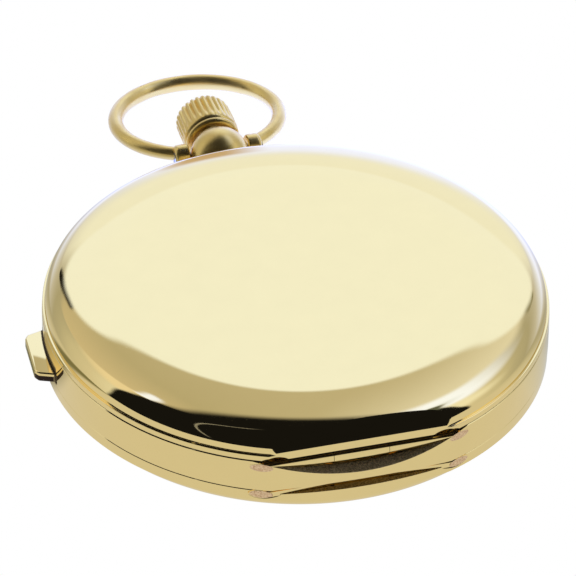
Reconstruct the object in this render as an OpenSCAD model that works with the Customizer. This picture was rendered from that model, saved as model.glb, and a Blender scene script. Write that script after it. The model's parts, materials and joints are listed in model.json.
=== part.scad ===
// Full hunter chronograph pocket watch, lying on its front cover.
// Millimetres. +Z points out of the back cover, +Y points to the pendant.
// The origin is the middle of the flat outside of the front cover.

/* [Case] */
// Diameter over the middle band
case_d = 53; // [52.8:0.1:55]
// Thickness over both covers
case_t = 11.3; // [11.3:0.1:12.5]
// Height of the front cover, from its flat outside to its seam
front_h = 3.95; // [3.9:0.05:4.1]
// Height of the middle band between the two seams
band_h = 3.75; // [3.7:0.05:3.9]
// Wall of both outer covers
cover_wall = 0.5; // [0.4:0.05:0.55]
// Radius of the truly flat middle of each cover
flat_r = 18; // [15:0.5:19]
// Radius of the tight turn from the cover's top into its side
turn_r = 1.6; // [1.4:0.1:1.8]
// How far the snap rim of a cover stands out from its side
rim_out = 0.85; // [0.7:0.05:0.95]
// Wall of the middle band, from its outside to its bore
band_wall = 3.5; // [3.3:0.05:3.6]
// Gap left at a closed seam
seam_gap = 0.04; // [0.02:0.01:0.06]

/* [Case hinges] */
// Outside diameter of a hinge tube
tube_d = 0.96; // [0.86:0.02:1]
// Diameter of the pins in the two case hinges
hinge_pin_d = 0.4; // [0.3:0.05:0.5]
// How far the hinge tubes lie inside the edge of the band
tube_inset = 2.21; // [2.15:0.02:2.3]
// Length of the middle knuckle of a case hinge
knuckle_l = 5.9; // [5:0.1:7]
// Height of the back cover's tube below its seam
back_tube_drop = 0.8; // [0.76:0.02:0.86]
// Height of the front cover's tube below its seam
front_tube_drop = 0.45; // [0.41:0.02:0.49]

/* [Pendant, crown and bow] */
// Largest diameter of the pendant
pendant_d = 6.4; // [6:0.1:6.8]
// Bore of the pendant
pendant_bore_d = 2.6; // [2.4:0.1:2.8]
// Diameter of the crown over its flutes
crown_d = 6.2; // [5.8:0.1:6.6]
// Length of the crown
crown_l = 5.4; // [5:0.1:6]
// Number of flutes on the crown
crown_flutes = 28; // [20:1:36]
// Diameter of the winding stem
stem_d = 1.2; // [1:0.1:1.3]
// Outside diameter of the round bow
bow_d = 19.7; // [19:0.1:21]
// Diameter of the bow's wire
bow_wire = 1.75; // [1.6:0.05:2]
// How far the bow leans to the front cover, in degrees
bow_lean = 9.5; // [0:0.5:12]

/* [Push-piece] */
// Length of the push-piece where it leaves the band
push_l = 8.4; // [7:0.1:9]
// Height of the push-piece
push_h = 1.1; // [0.9:0.05:1.2]
// How far the push-piece stands out of the band
push_out = 1.75; // [1.4:0.05:2]
// Direction of the push-piece, in degrees round from the pendant
push_at = 86.5; // [85:0.5:88]
// Travel of the push-piece
push_travel = 0.8; // [0.6:0.05:0.9]

/* [Dial and hands] */
// Width of the bezel ring
bezel_w = 1.9; // [1.8:0.05:2.1]
// Thickness of the enamel dial
dial_t = 0.6; // [0.5:0.05:0.7]
// Thickness of the crystal
crystal_t = 0.7; // [0.6:0.05:0.8]
// Diameter of the two small dials
subdial_d = 11; // [9:0.5:11.5]
// Depth of the two small dials
subdial_sink = 0.12; // [0.08:0.01:0.16]
// Thickness of the hands
hand_t = 0.13; // [0.1:0.01:0.15]

/* [Movement] */
// Width of the channel between the main plate and the band
channel_w = 1.4; // [1.3:0.05:1.5]
// Thickness of the main plate
plate_t = 1.4; // [1.3:0.05:1.45]
// Thickness of the bridges
bridge_t = 0.65; // [0.55:0.05:0.7]
// Diameter of the balance wheel over its rim
balance_d = 11.6; // [10.6:0.1:11.8]
// Number of screws in the balance rim
balance_screws = 14; // [8:2:18]
// Outside diameter of the hairspring
hairspring_d = 5.4; // [4.6:0.2:6]
// Diameter of the plain arbors
arbor_d = 0.5; // [0.4:0.05:0.56]
// Running clearance round an arbor or a pin
run_gap = 0.03; // [0.02:0.01:0.04]

/* [Hidden] */
$fn = 96;
e = 0.01;

// Colours
gold = [0.83, 0.69, 0.38];
pale_gold = [0.90, 0.80, 0.52];
steel = [0.62, 0.63, 0.66];
blued = [0.12, 0.18, 0.45];
gilt = [0.80, 0.66, 0.36];
nickel = [0.76, 0.75, 0.70];
ruby = [0.75, 0.08, 0.22];
enamel = [0.96, 0.96, 0.93];
clear = [0.85, 0.92, 0.95, 0.4];

// Case levels and radii
band_r = case_d / 2;
seam_f = front_h;
seam_b = front_h + band_h;
back_h = case_t - seam_b;
rim_r = band_r - 0.05;
side_r = rim_r - rim_out;
inner_r = side_r - cover_wall;
back_rim_h = 0.66;
front_rim_h = 1.25;
rim_round = 0.12;
crease_r = 0.16;
rise = front_h - front_rim_h - seam_gap - crease_r - 0.03;
arc_ease = 0.03;
crown_arc = dome_arc(side_r, turn_r, rise);
back_side_r = side_r + 0.6;
back_turn_r = turn_r + 0.4;
back_crease_r = 0.1;
back_rise = back_h - back_rim_h - seam_gap - back_crease_r;
back_arc = dome_arc(back_side_r, back_turn_r, back_rise);
bore_r = band_r - band_wall;
edge = 0.07;
snap_gap = 0.1;
snap_r = inner_r - snap_gap;
snap_w = 0.6;
snap_h = 0.5;
ledge_w = 0.9;
ledge_t = 0.45;

// Case hinges, with their axes along X on the side away from the pendant
tube_r = tube_d / 2;
pin_r = hinge_pin_d / 2;
tube_y = -(band_r - tube_inset);
back_tube_z = seam_b - back_tube_drop;
front_tube_z = seam_f - front_tube_drop;
tube_end = sqrt(band_r * band_r - tube_y * tube_y) + 0.9;
knuckle_gap = 0.05;
tube_gap = 0.09;
hinge_wall_y = tube_y - 0.31;
hinge_wall_t = 0.55;
hinge_lean = 26;
strip_h = 0.95;
notch_y = tube_y + tube_r + tube_gap;
back_notch_z = back_tube_z - 0.78;
back_notch_arc = 43;
front_notch_z = front_tube_z + 1.69;
front_notch_arc = 40;
trim_depth = 0.75;
trim_half = 10;
trim_arc = arc_through(trim_depth + 0.05, trim_half);
arch_x = 9.1;
arch_r = 2.4;
arch_top = 0.5;

// Cuvette, the inner dust cover
cuvette_r = snap_r - snap_w - 0.1;
cuvette_wall = 0.35;
cuvette_top = case_t - 1.25;
cuvette_turn = 2;
cuvette_tube_r = 0.38;
cuvette_tube_y = -(band_r - 3.35);
cuvette_tube_z = seam_b + cuvette_tube_r + 0.04;
cuvette_knuckle_l = 4;
cuvette_hinge_l = 10;
cuvette_pin_r = 0.15;

// Pendant, crown and bow
stem_z = seam_f + band_h / 2;
stem_r = stem_d / 2;
neck_r = band_h / 2 - 0.05;
pendant_r = pendant_d / 2;
pendant_bore_r = pendant_bore_d / 2;
pendant_mid = band_r + 3.75;
pendant_end = band_r + 5.8;
pendant_lip_r = 2.3;
crown_r = crown_d / 2;
crown_start = pendant_end + 0.45;
crown_end = crown_start + crown_l;
crown_skirt = 1.1;
flute_r = 0.26;
crown_push = 0.4;
sleeve_gap = 0.05;
sleeve_start = bore_r - 0.3;
bow_r = (bow_d - bow_wire) / 2;
bow_pivot_y = band_r + 4.5;
bow_reach = 8.8;
bow_screw_r = 0.4;
bow_face = pendant_r + 0.06;
bow_end_x = bow_face + 0.64;
bow_eye_r = 1.25;
bow_eye_w = 1.6;
bow_eye_round = 0.5;
bow_eye_y = 0.3;
bow_screw_seat = bow_face + 1.3;

// Push-piece
push_z = seam_f + 0.42 + push_h / 2;
push_tip_l = push_l - 1.5;
push_root = band_r - 1.1;
push_rod_r = 0.42;
push_fit = 0.06;
push_rod_end = bore_r - 0.25;

// Levels of the dial side, from the crystal to the dial
crystal_in = front_h - 2.05;
dial_z = front_h - 0.65;
dial_back = dial_z + dial_t;
hand_step = 0.3;
hour_hand_z = dial_z - 0.38;
minute_hand_z = hour_hand_z - hand_step;
sweep_hand_z = minute_hand_z - hand_step;
small_hand_z = dial_z - 0.2;
bezel_r = band_r - 2.9;
dial_r = bezel_r - bezel_w;
glass_r = dial_r - 0.1;
hour_hand_l = dial_r - 10.1;
minute_hand_l = dial_r - 4.3;
sweep_hand_l = dial_r - 2.1;
small_hand_l = subdial_d / 2 - 1.1;
hour_moon = hour_hand_l - 3;
minute_moon = minute_hand_l - 3.8;

// Levels of the movement
plate_z = front_h + 0.95;
plate_top = plate_z + plate_t;
plate_r = bore_r - channel_w;
flange_r = bore_r - 0.05;
flange_t = 0.4;
low_wheel_z = plate_top + 0.1;
mid_wheel_z = plate_top + 0.52;
high_wheel_z = plate_top + 0.98;
wheel_t = 0.26;
barrel_z = plate_top + 0.62;
bridge_z = plate_top + 1.65;
bridge_top = bridge_z + bridge_t;
wind_z = bridge_top + 0.05;
wind_t = 0.28;
chrono_z = bridge_top + 0.42;
chrono_t = 0.18;
cam_z = chrono_z + chrono_t + 0.02;
cam_t = 0.13;
top_bridge_z = cam_z + cam_t + 0.04;
top_bridge_t = 0.26;
arbor_r = arbor_d / 2;

// Everything in the movement keeps its place as a share of the plate
mv = plate_r / 21.6;

// Gear train: numbers of teeth and modules
barrel_n = 60;
barrel_m = 0.267 * mv;
centre_pinion_n = 10;
centre_n = 48;
centre_m = 0.24 * mv;
third_pinion_n = 6;
third_n = 45;
third_m = 0.213 * mv;
fourth_pinion_n = 6;
fourth_n = 42;
fourth_m = 0.233 * mv;
escape_pinion_n = 6;
escape_n = 15;
escape_r = 2.6 * mv;
crown_wheel_n = 28;
ratchet_n = 44;
wind_m = 0.33 * mv;
contrate_n = 20;
contrate_r = 3 * mv;
winding_pinion_n = 10;
cannon_n = 8;
minute_n = 24;
minute_m = 0.225 * mv;
minute_pinion_n = 8;
hour_n = 32;
hour_m = 0.18 * mv;
chrono_n = 48;
clutch_n = 20;
chrono_m = 0.2 * mv;
counter_n = 30;
counter_m = 0.12 * mv;
small_axis = 8 * mv;

// Distance between the middles of two wheels in mesh
function mesh(m, a, b) = m * (a + b) / 2;
// Point at distance r in direction a
function polar(r, a) = [r * cos(a), r * sin(a)];
// Direction from a to b
function heading(a, b) = atan2(b[1] - a[1], b[0] - a[0]);
// Turn that sets a gap of an n-tooth wheel at b against a tooth that comes from a
function gap_turn(a, b, n) = heading(b, a) + 180 / n;
// Third corner of a triangle over a and b, ra from a and rb from b, on the left of a to b
function corner(a, b, ra, rb) = let(
    d = norm(b - a),
    u = (ra * ra + d * d - rb * rb) / (2 * d),
    v = sqrt(ra * ra - u * u),
    f = (b - a) / d)
  a + u * f + v * [-f[1], f[0]];
// Radius of the arc from a cover's flat middle, level there, to its turn of radius t
function dome_arc(side, t, deep) =
  (pow(side - flat_r, 2) + deep * deep - 2 * (side - flat_r) * t) / (2 * (deep - t)) - arc_ease;
// Radius of the flatter arc that is depth short of the band and meets it half away
function arc_through(depth, half) = let(
    p = band_r - depth,
    q = sqrt(band_r * band_r - half * half))
  (half * half + (p - q) * (p - q)) / (2 * (p - q));

centre_at = [0, 0];
fourth_at = [0, -small_axis];
counter_at = [0, small_axis];
barrel_at = polar(mesh(barrel_m, barrel_n, centre_pinion_n), 28);
third_at = corner(fourth_at, centre_at,
  mesh(third_m, third_n, fourth_pinion_n), mesh(centre_m, centre_n, third_pinion_n));
escape_at = fourth_at + polar(mesh(fourth_m, fourth_n, escape_pinion_n), 225);
pallet_at = escape_at + polar(3.7 * mv, -12);
balance_at = escape_at + polar(8.3 * mv, -12);
wind_reach = mesh(wind_m, crown_wheel_n, ratchet_n);
crown_wheel_at = [0, barrel_at[1] + sqrt(pow(wind_reach, 2) - pow(barrel_at[0], 2))];
pinion_y = crown_wheel_at[1] + contrate_r;
minute_at = polar(mesh(minute_m, cannon_n, minute_n), 60);
clutch_at = corner(fourth_at, centre_at,
  mesh(chrono_m, clutch_n, clutch_n) + 0.04, mesh(chrono_m, chrono_n, clutch_n) + 0.36);
column_at = [-15.4, 7] * mv;
click_at = barrel_at + polar(9.6 * mv, 60);
push_dir = 90 + push_at;
lug_at = polar(push_rod_end - 0.3, push_dir);
lever_at = [-18.9, -6.4] * mv;
hammer_at = [-10.4, 6.2] * mv;
brake_at = [10.2, -6] * mv;
brake_pad_at = [1.49, -5.55] * mv;
train_foot_l = [-14, -4] * mv;
train_foot_r = [9.6, -5.6] * mv;
cock_foot = balance_at + [8.4, -0.4] * mv;
pallet_foot = pallet_at + polar(4.7 * mv, -105);
top_foot_a = [-7.7, 11.4] * mv;
top_foot_b = [4.8, -3.5] * mv;

// Plain helpers

module at2(p, z = 0) {
  translate([p[0], p[1], z]) children();
}

// Box from its lowest corner to its highest corner
module box(a, b) {
  translate(a) cube(b - a);
}

module box2d(a, b) {
  translate(a) square(b - a);
}

module disc(r, z, h) {
  translate([0, 0, z]) cylinder(r = r, h = h);
}

module ring(r_out, r_in, z, h) {
  translate([0, 0, z]) difference() {
    cylinder(r = r_out, h = h);
    translate([0, 0, -1]) cylinder(r = r_in, h = h + 2);
  }
}

module slab(z, h) {
  translate([0, 0, z]) linear_extrude(h) children();
}

// Rod along X between x0 and x1
module rod_x(r, x0, x1, y, z) {
  translate([x0, y, z]) rotate([0, 90, 0]) cylinder(r = r, h = x1 - x0);
}

// Rod along Y between y0 and y1
module rod_y(r, y0, y1, x = 0, z = 0) {
  translate([x, y0, z]) rotate([-90, 0, 0]) cylinder(r = r, h = y1 - y0);
}

// Turned form about the stem's axis, drawn with its length along Y
module turned_y(z) {
  translate([0, 0, z]) rotate([-90, 0, 0]) rotate_extrude() children();
}

// Flat bar with round ends
module bar2d(a, b, w) {
  translate(a) circle(d = w + 0.02);
  translate(b) circle(d = w + 0.02);
  translate(a) rotate(heading(a, b)) translate([0, -w / 2]) square([norm(b - a), w]);
}

// Sector of a flat ring between two directions
module sector(r_out, r_in, a0, a1, z, h) {
  translate([0, 0, z]) rotate([0, 0, a0])
    rotate_extrude(angle = a1 - a0) box2d([r_in, 0], [r_out, h]);
}

// Outline of a toothed wheel; one tooth points along +X
module gear2d(n, m) {
  p = 360 / n;
  r_foot = m * (n / 2 - 1.1);
  r_tip = m * (n / 2 + 0.75);
  polygon([for (i = [0 : n - 1]) for (k = [-0.25, -0.1, 0.1, 0.25])
    polar(abs(k) > 0.2 ? r_foot : r_tip, (i + k) * p)]);
}

// Outline of a spoked wheel
module wheel2d(n, m, rim, hub, arms, arm_w) {
  inside = m * (n / 2 - 1.1) - rim;
  difference() {
    gear2d(n, m);
    circle(r = inside);
  }
  for (i = [0 : arms - 1]) rotate(i * 360 / arms + 20)
    translate([0, -arm_w / 2]) square([inside + rim / 2, arm_w]);
  circle(r = hub);
}

// Arbor with a thinner pivot at each end
module arbor(z0, z1, pivot = 0.42) {
  disc(arbor_r, z0 + pivot, z1 - z0 - 2 * pivot);
  disc(arbor_r / 2, z0, z1 - z0);
}

// Case

// Half section of a cover, w inside its outer face, from its flat face at 0 up to foot
module cover2d(w, foot, side, turn, deep, arc) {
  lift = asin((side - turn - flat_r) / (arc - turn));
  joint_r = flat_r + (arc - w) * sin(lift);
  box2d([0, deep], [side - w, foot]);
  box2d([0, w], [flat_r, deep + e]);
  intersection() {
    translate([side - turn, deep]) circle(r = turn - w);
    box2d([0, 0], [side, deep]);
  }
  intersection() {
    translate([flat_r, arc]) circle(r = arc - w, $fn = 360);
    box2d([flat_r - e, w - e], [joint_r, deep + e]);
  }
}

// Snap rim of a cover with its hollow crease
module cover_rim2d(foot, h, side, crease) {
  box2d([inner_r, foot - h + rim_round], [rim_r, foot]);
  box2d([inner_r, foot - h], [rim_r - rim_round, foot]);
  translate([rim_r - rim_round, foot - h + rim_round]) circle(r = rim_round);
  difference() {
    box2d([side - e, foot - h - crease], [side + crease, foot - h + e]);
    translate([side + crease, foot - h - crease]) circle(r = crease);
  }
}

// Whole outer form and whole hollow of the front cover
module front_form(foot) {
  rotate_extrude($fn = 240) {
    cover2d(0, foot, side_r, turn_r, rise, crown_arc);
    cover_rim2d(foot, front_rim_h, side_r, crease_r);
  }
}

module front_hollow(foot) {
  rotate_extrude($fn = 240) cover2d(cover_wall, foot + 1, side_r, turn_r, rise, crown_arc);
}

// The same of the back cover, which is fuller and has an inward snap lip
module back_form(foot) {
  translate([0, 0, case_t]) mirror([0, 0, 1]) rotate_extrude($fn = 240) {
    cover2d(0, foot, back_side_r, back_turn_r, back_rise, back_arc);
    cover_rim2d(foot, back_rim_h, back_side_r, back_crease_r);
  }
}

module back_hollow(foot) {
  translate([0, 0, case_t]) mirror([0, 0, 1]) rotate_extrude($fn = 240) {
    cover2d(cover_wall, foot - back_rim_h, back_side_r, back_turn_r, back_rise, back_arc);
    box2d([0, back_rise], [inner_r, foot + 1]);
  }
}

// Everything farther out than y, across the whole case
module outboard(y, z0, z1, half = 40) {
  box([-half, -2 * band_r, z0], [half, y, z1]);
}

// Everything outside the back cover's hinge strip, which leans back above the rim
module outside_strip(y) {
  top = case_t + 1;
  knee = seam_b + strip_h;
  rotate([90, 0, 90]) translate([0, 0, -band_r]) linear_extrude(2 * band_r) polygon([[-2 * band_r, seam_b - 1],
    [y, seam_b - 1], [y, knee], [y + (top - knee) * tan(hinge_lean), top], [-2 * band_r, top]]);
}

module hinge_knuckle(x0, x1, z) {
  rod_x(tube_r, x0, x1, tube_y, z);
}

module back_cover() color(gold) {
  foot = back_h - seam_gap;
  k = knuckle_l / 2 - knuckle_gap;
  difference() {
    union() {
      difference() {
        back_form(foot);
        outside_strip(hinge_wall_y);
        for (s = [-1, 1]) translate([s * arch_x, 0, seam_b + arch_top - arch_r])
          rod_y(arch_r, -2 * band_r, tube_y + 2.2);
        difference() {
          back_hollow(foot);
          outside_strip(hinge_wall_y + hinge_wall_t);
        }
      }
      hinge_knuckle(-k, k, back_tube_z);
      box([-k, tube_y - 0.05, back_tube_z], [k, hinge_wall_y + hinge_wall_t, seam_b + 0.3]);
    }
    rod_x(pin_r + run_gap, -k - 1, k + 1, tube_y, back_tube_z);
  }
}

module front_cover() color(gold) {
  foot = front_h - seam_gap;
  k = knuckle_l / 2 - knuckle_gap;
  far = 2 * band_r;
  difference() {
    union() {
      difference() {
        front_form(foot);
        front_hollow(foot);
        // Rim trimmed by a flatter arc where it swings up past the band
        difference() {
          outboard(-sqrt(band_r * band_r - trim_half * trim_half), front_h - front_rim_h - crease_r, far);
          translate([0, trim_arc - (band_r - trim_depth - 0.05), 0]) disc(trim_arc, 0, far, $fn = 360);
          disc(side_r, 0, far);
        }
        // Ledge outside the tube, and the room that the tube takes
        outboard(tube_y, front_tube_z, far, 11);
        box([-11, tube_y - e, front_tube_z], [11, notch_y, far]);
        rod_x(tube_r + tube_gap, -13, 13, tube_y, front_tube_z);
      }
      hinge_knuckle(-k, k, front_tube_z);
      box([-k, -side_r + 0.2, front_tube_z - 0.6], [k, tube_y + 0.1, front_tube_z - 0.05]);
    }
    rod_x(pin_r + run_gap, -k - 1, k + 1, tube_y, front_tube_z);
  }
}

module band_section() {
  rotate_extrude($fn = 240) {
    polygon([[bore_r, seam_f], [band_r - edge, seam_f], [band_r, seam_f + edge],
      [band_r, seam_b - edge], [band_r - edge, seam_b], [bore_r, seam_b]]);
    box2d([bore_r - ledge_w, plate_z - ledge_t], [bore_r + e, plate_z]);
  }
}

// Rims of the band that the two covers snap over, open at the hinges
module snap_rims() {
  difference() {
    union() {
      ring(snap_r, snap_r - snap_w, seam_b - 0.2, snap_h + 0.2);
      ring(snap_r, snap_r - snap_w, seam_f - snap_h, snap_h + 0.2);
    }
    outboard(-sqrt(snap_r * snap_r - 14 * 14), 0, case_t);
  }
}

// Room for the tube, the cover's edge and the finger flat at one hinge
module hinge_notch(z, arc, up) {
  h = up > 0 ? seam_b + 2 : seam_f - 2;
  intersection() {
    translate([0, 0, z + up * arc]) rod_y(arc, -2 * band_r, notch_y, $fn = 360);
    box([-13, -2 * band_r, min(z, h)], [13, notch_y, max(z, h)]);
  }
}

// Two knuckles of the band at one hinge, with the root that carries them
module band_knuckles(z, root_z, root_lift) {
  root_end = 9;
  intersection() {
    for (s = [0, 1]) mirror([s, 0, 0]) {
      hinge_knuckle(knuckle_l / 2, tube_end, z);
      box([knuckle_l / 2, tube_y, min(z, root_z)], [root_end, notch_y - 0.03, max(z, root_z)]);
      box([knuckle_l / 2, tube_y, root_lift + min(z, root_z)], [root_end, notch_y + 0.1, max(z, root_z)]);
    }
    disc(band_r, 0, case_t, $fn = 240);
  }
}

module push_slot() {
  rotate([0, 0, push_dir]) {
    box([push_root - push_travel - push_fit, -push_l / 2 - push_fit, push_z - push_h / 2 - push_fit],
      [band_r + 1, push_l / 2 + push_fit, push_z + push_h / 2 + push_fit]);
    translate([0, 0, push_z]) rotate([0, 90, 0]) cylinder(r = push_rod_r + push_fit, h = band_r);
    // Room in the ledge for the lever's lug
    box([bore_r - ledge_w - 0.2, -2.4, plate_z - ledge_t - 0.1], [bore_r - 0.15, 3.4, plate_z + e]);
  }
}

module case_band() color(gold) {
  difference() {
    union() {
      difference() {
        union() {
          band_section();
          snap_rims();
        }
        hinge_notch(back_notch_z, back_notch_arc, 1);
        hinge_notch(front_notch_z, front_notch_arc, -1);
      }
      band_knuckles(back_tube_z, back_notch_z - 0.1, 0);
      band_knuckles(front_tube_z, front_notch_z + 0.1, front_tube_drop + 0.1);
      // Ears of the cuvette's hinge
      for (s = [0, 1]) mirror([s, 0, 0]) {
        rod_x(cuvette_tube_r, cuvette_knuckle_l / 2, cuvette_hinge_l / 2, cuvette_tube_y, cuvette_tube_z);
        box([cuvette_knuckle_l / 2, cuvette_tube_y - 0.2, seam_b - 0.2],
          [cuvette_hinge_l / 2, cuvette_tube_y + 0.2, cuvette_tube_z]);
      }
    }
    for (z = [back_tube_z, front_tube_z]) rod_x(pin_r, -15, 15, tube_y, z);
    rod_x(cuvette_pin_r, -8, 8, cuvette_tube_y, cuvette_tube_z);
    rod_y(neck_r + 0.01, 0, 2 * band_r, 0, stem_z);
    push_slot();
  }
}

module back_hinge_pin() color(steel) {
  end = tube_end - 1.9;
  rod_x(pin_r, -end, end, tube_y, back_tube_z);
}

module front_hinge_pin() color(steel) {
  end = tube_end - 1.9;
  rod_x(pin_r, -end, end, tube_y, front_tube_z);
}

module cuvette_hinge_pin() color(steel) {
  end = cuvette_hinge_l / 2 - 0.1;
  rod_x(cuvette_pin_r, -end, end, cuvette_tube_y, cuvette_tube_z);
}

// Half section of the cuvette, w inside its outer face
module cuvette2d(w) {
  foot = w > 0 ? seam_b - 1 : seam_b;
  box2d([0, foot], [cuvette_r - w, cuvette_top - cuvette_turn]);
  box2d([0, foot], [cuvette_r - cuvette_turn, cuvette_top - w]);
  intersection() {
    translate([cuvette_r - cuvette_turn, cuvette_top - cuvette_turn]) circle(r = cuvette_turn - w);
    box2d([0, foot], [cuvette_r, cuvette_top]);
  }
}

module cuvette() color(pale_gold) {
  k = cuvette_knuckle_l / 2 - knuckle_gap;
  wall_y = cuvette_tube_y - 0.1;
  difference() {
    union() {
      difference() {
        rotate_extrude($fn = 240) difference() {
          cuvette2d(0);
          cuvette2d(cuvette_wall);
        }
        outboard(wall_y, 0, case_t);
      }
      // Flat wall over the hinge, and the middle knuckle
      intersection() {
        box([-12, wall_y, seam_b + 2 * cuvette_tube_r + 0.1], [12, wall_y + cuvette_wall, case_t]);
        rotate_extrude($fn = 240) cuvette2d(0);
      }
      rod_x(cuvette_tube_r, -k, k, cuvette_tube_y, cuvette_tube_z);
      box([-k, wall_y, cuvette_tube_z], [k, wall_y + cuvette_wall, seam_b + 2 * cuvette_tube_r + 0.2]);
    }
    rod_x(cuvette_pin_r + run_gap, -k - 1, k + 1, cuvette_tube_y, cuvette_tube_z);
    for (s = [0, 1]) mirror([s, 0, 0])
      box([k, cuvette_tube_y - 0.5, seam_b - 1],
        [cuvette_hinge_l / 2 + 0.1, cuvette_tube_y + 0.5, seam_b + 2 * cuvette_tube_r + 0.1]);
  }
}

module bezel() color(gold) {
  rotate_extrude($fn = 240) difference() {
    polygon([[glass_r - 0.6, crystal_in - 0.65], [glass_r + 0.1, crystal_in - 0.75],
      [bezel_r - 0.5, crystal_in - 0.15], [bezel_r, crystal_in + 0.5], [bezel_r, seam_f],
      [dial_r + 0.1, seam_f], [dial_r + 0.1, dial_z], [glass_r - 0.6, dial_z]]);
    box2d([0, crystal_in - crystal_t - 1], [glass_r, crystal_in]);
  }
}

module crystal() color(clear) {
  rotate_extrude($fn = 240) polygon([[0, crystal_in - crystal_t], [glass_r - 0.9, crystal_in - crystal_t],
    [glass_r - 0.02, crystal_in - 0.3], [glass_r - 0.02, crystal_in], [0, crystal_in]]);
}

module pendant() color(gold) difference() {
  turned_y(stem_z) intersection() {
    union() {
      box2d([0, bore_r + 0.5], [neck_r, pendant_mid]);
      translate([0, pendant_mid]) circle(r = pendant_r);
      box2d([0, pendant_mid], [pendant_lip_r, pendant_end]);
    }
    box2d([0, 0], [band_r, pendant_end]);
    union() {
      box2d([0, 0], [neck_r, pendant_mid]);
      box2d([0, band_r + 0.35], [band_r, pendant_end]);
    }
  }
  rod_y(pendant_bore_r, 0, 2 * band_r, 0, stem_z);
  rod_x(bow_screw_r, -band_r, band_r, bow_pivot_y, stem_z);
}

module bow() color(gold) translate([0, bow_pivot_y, stem_z]) rotate([-bow_lean, 0, 0]) difference() {
  open = asin(bow_end_x / bow_r);
  union() {
    translate([0, bow_reach, 0]) rotate([0, 0, open - 90])
      rotate_extrude(angle = 360 - 2 * open) translate([bow_r, 0]) circle(d = bow_wire);
    // Eyes with a flat face to the pendant
    for (s = [0, 1]) mirror([s, 0, 0]) translate([bow_face, bow_eye_y, 0]) rotate([0, 90, 0])
      rotate_extrude() {
        box2d([0, 0], [bow_eye_r, bow_eye_w - bow_eye_round]);
        box2d([0, 0], [bow_eye_r - bow_eye_round, bow_eye_w]);
        translate([bow_eye_r - bow_eye_round, bow_eye_w - bow_eye_round]) circle(r = bow_eye_round);
      }
  }
  rod_x(bow_screw_r + run_gap, -band_r, band_r, 0, 0);
  for (s = [0, 1]) mirror([s, 0, 0]) rod_x(bow_screw_r + 0.25, bow_screw_seat, band_r, 0, 0);
}

module bow_screws() color(steel) for (s = [0, 1]) mirror([s, 0, 0]) {
  rod_x(bow_screw_r, pendant_bore_r + 0.2, bow_screw_seat, bow_pivot_y, stem_z);
  difference() {
    rod_x(bow_screw_r + 0.2, bow_screw_seat, bow_screw_seat + 0.35, bow_pivot_y, stem_z);
    box([bow_screw_seat + 0.2, bow_pivot_y - 0.08, 0], [band_r, bow_pivot_y + 0.08, case_t]);
  }
}

module crown() color(gold) difference() {
  intersection() {
    turned_y(stem_z) intersection() {
      union() {
        box2d([0, crown_start + crown_skirt], [crown_r, crown_end - 1]);
        polygon([[0, crown_start], [crown_r - 0.85, crown_start], [crown_r - 0.1, crown_start + 0.5],
          [crown_r, crown_start + crown_skirt], [0, crown_start + crown_skirt]]);
        translate([crown_r - 1, crown_end - 1]) circle(r = 1);
        box2d([0, crown_end - 1 - e], [crown_r - 1, crown_end]);
      }
      box2d([0, 0], [band_r, 2 * band_r]);
    }
    union() {
      rod_y(crown_r + 1, crown_start - 1, crown_start + crown_skirt, 0, stem_z);
      translate([0, crown_start + crown_skirt, stem_z]) rotate([-90, 0, 0]) linear_extrude(crown_l)
        difference() {
          circle(r = crown_r);
          for (i = [0 : crown_flutes - 1]) rotate(i * 360 / crown_flutes)
            translate([crown_r + 0.06, 0]) circle(r = flute_r, $fn = 24);
        }
    }
  }
  rod_y(pendant_lip_r + 0.12, crown_start - 1, crown_start + crown_push + 0.3, 0, stem_z);
  rod_y(stem_r, crown_start - 1, crown_end - 1.2, 0, stem_z);
}

module winding_stem() color(steel) {
  rod_y(stem_r, pinion_y + 1, crown_end - 1.2, 0, stem_z);
  rod_y(stem_r / 2, pinion_y - 2.5, pinion_y + 1, 0, stem_z);
  translate([0, pinion_y - 0.7, stem_z]) rotate([-90, 0, 0]) linear_extrude(1.4)
    gear2d(winding_pinion_n, 0.29);
  // Clutch with its groove
  difference() {
    rod_y(1.1, pinion_y - 2.2, pinion_y - 0.8, 0, stem_z);
    translate([0, pinion_y - 1.8, stem_z]) rotate([-90, 0, 0]) ring(3, 0.8, 0, 0.4);
  }
}

module push_sleeve() color(steel) difference() {
  rod_y(pendant_bore_r - sleeve_gap, sleeve_start, pendant_end - 0.6, 0, stem_z);
  rod_y(stem_r + run_gap, 0, 2 * band_r, 0, stem_z);
}

module push_piece() color(gold) rotate([0, 0, push_dir]) {
  intersection() {
    slab(push_z - push_h / 2, push_h) intersection() {
      polygon([[push_root, -push_l / 2], [band_r - 0.35, -push_l / 2], [band_r + push_out, -push_tip_l / 2],
        [band_r + push_out, push_tip_l / 2], [band_r - 0.35, push_l / 2], [push_root, push_l / 2]]);
      circle(r = band_r + push_out, $fn = 240);
    }
    // Crowned outer face
    translate([band_r + push_out - 2.6, 0, push_z]) union() {
      rotate([90, 0, 0]) cylinder(r = 2.6, h = push_l + 2, center = true);
      translate([-5, -push_l, -push_h]) cube([5, 2 * push_l, 2 * push_h]);
    }
  }
  translate([push_rod_end, 0, push_z]) rotate([0, 90, 0])
    cylinder(r = push_rod_r, h = push_root - push_rod_end + e);
}

// Springs that lie in the channel between the movement and the band

module channel_spring(a0, a1, z, h) {
  r = bore_r - 0.45;
  sector(r + 0.12, r - 0.12, a0, a1, z, h);
  sector(bore_r - 0.06, r - 0.5, a1 - 1, a1 + 7, z, h);
}

module push_piece_spring() color(blued)
  channel_spring(push_dir + 4, push_dir + 42, plate_top - 0.5, 1.1);

module catch_spring() color(blued)
  channel_spring(100, 142, plate_top - 0.5, 1.5);

module lift_spring() color(blued)
  channel_spring(-80, -30, plate_top - 0.5, 1.5);

// Dial side

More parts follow.
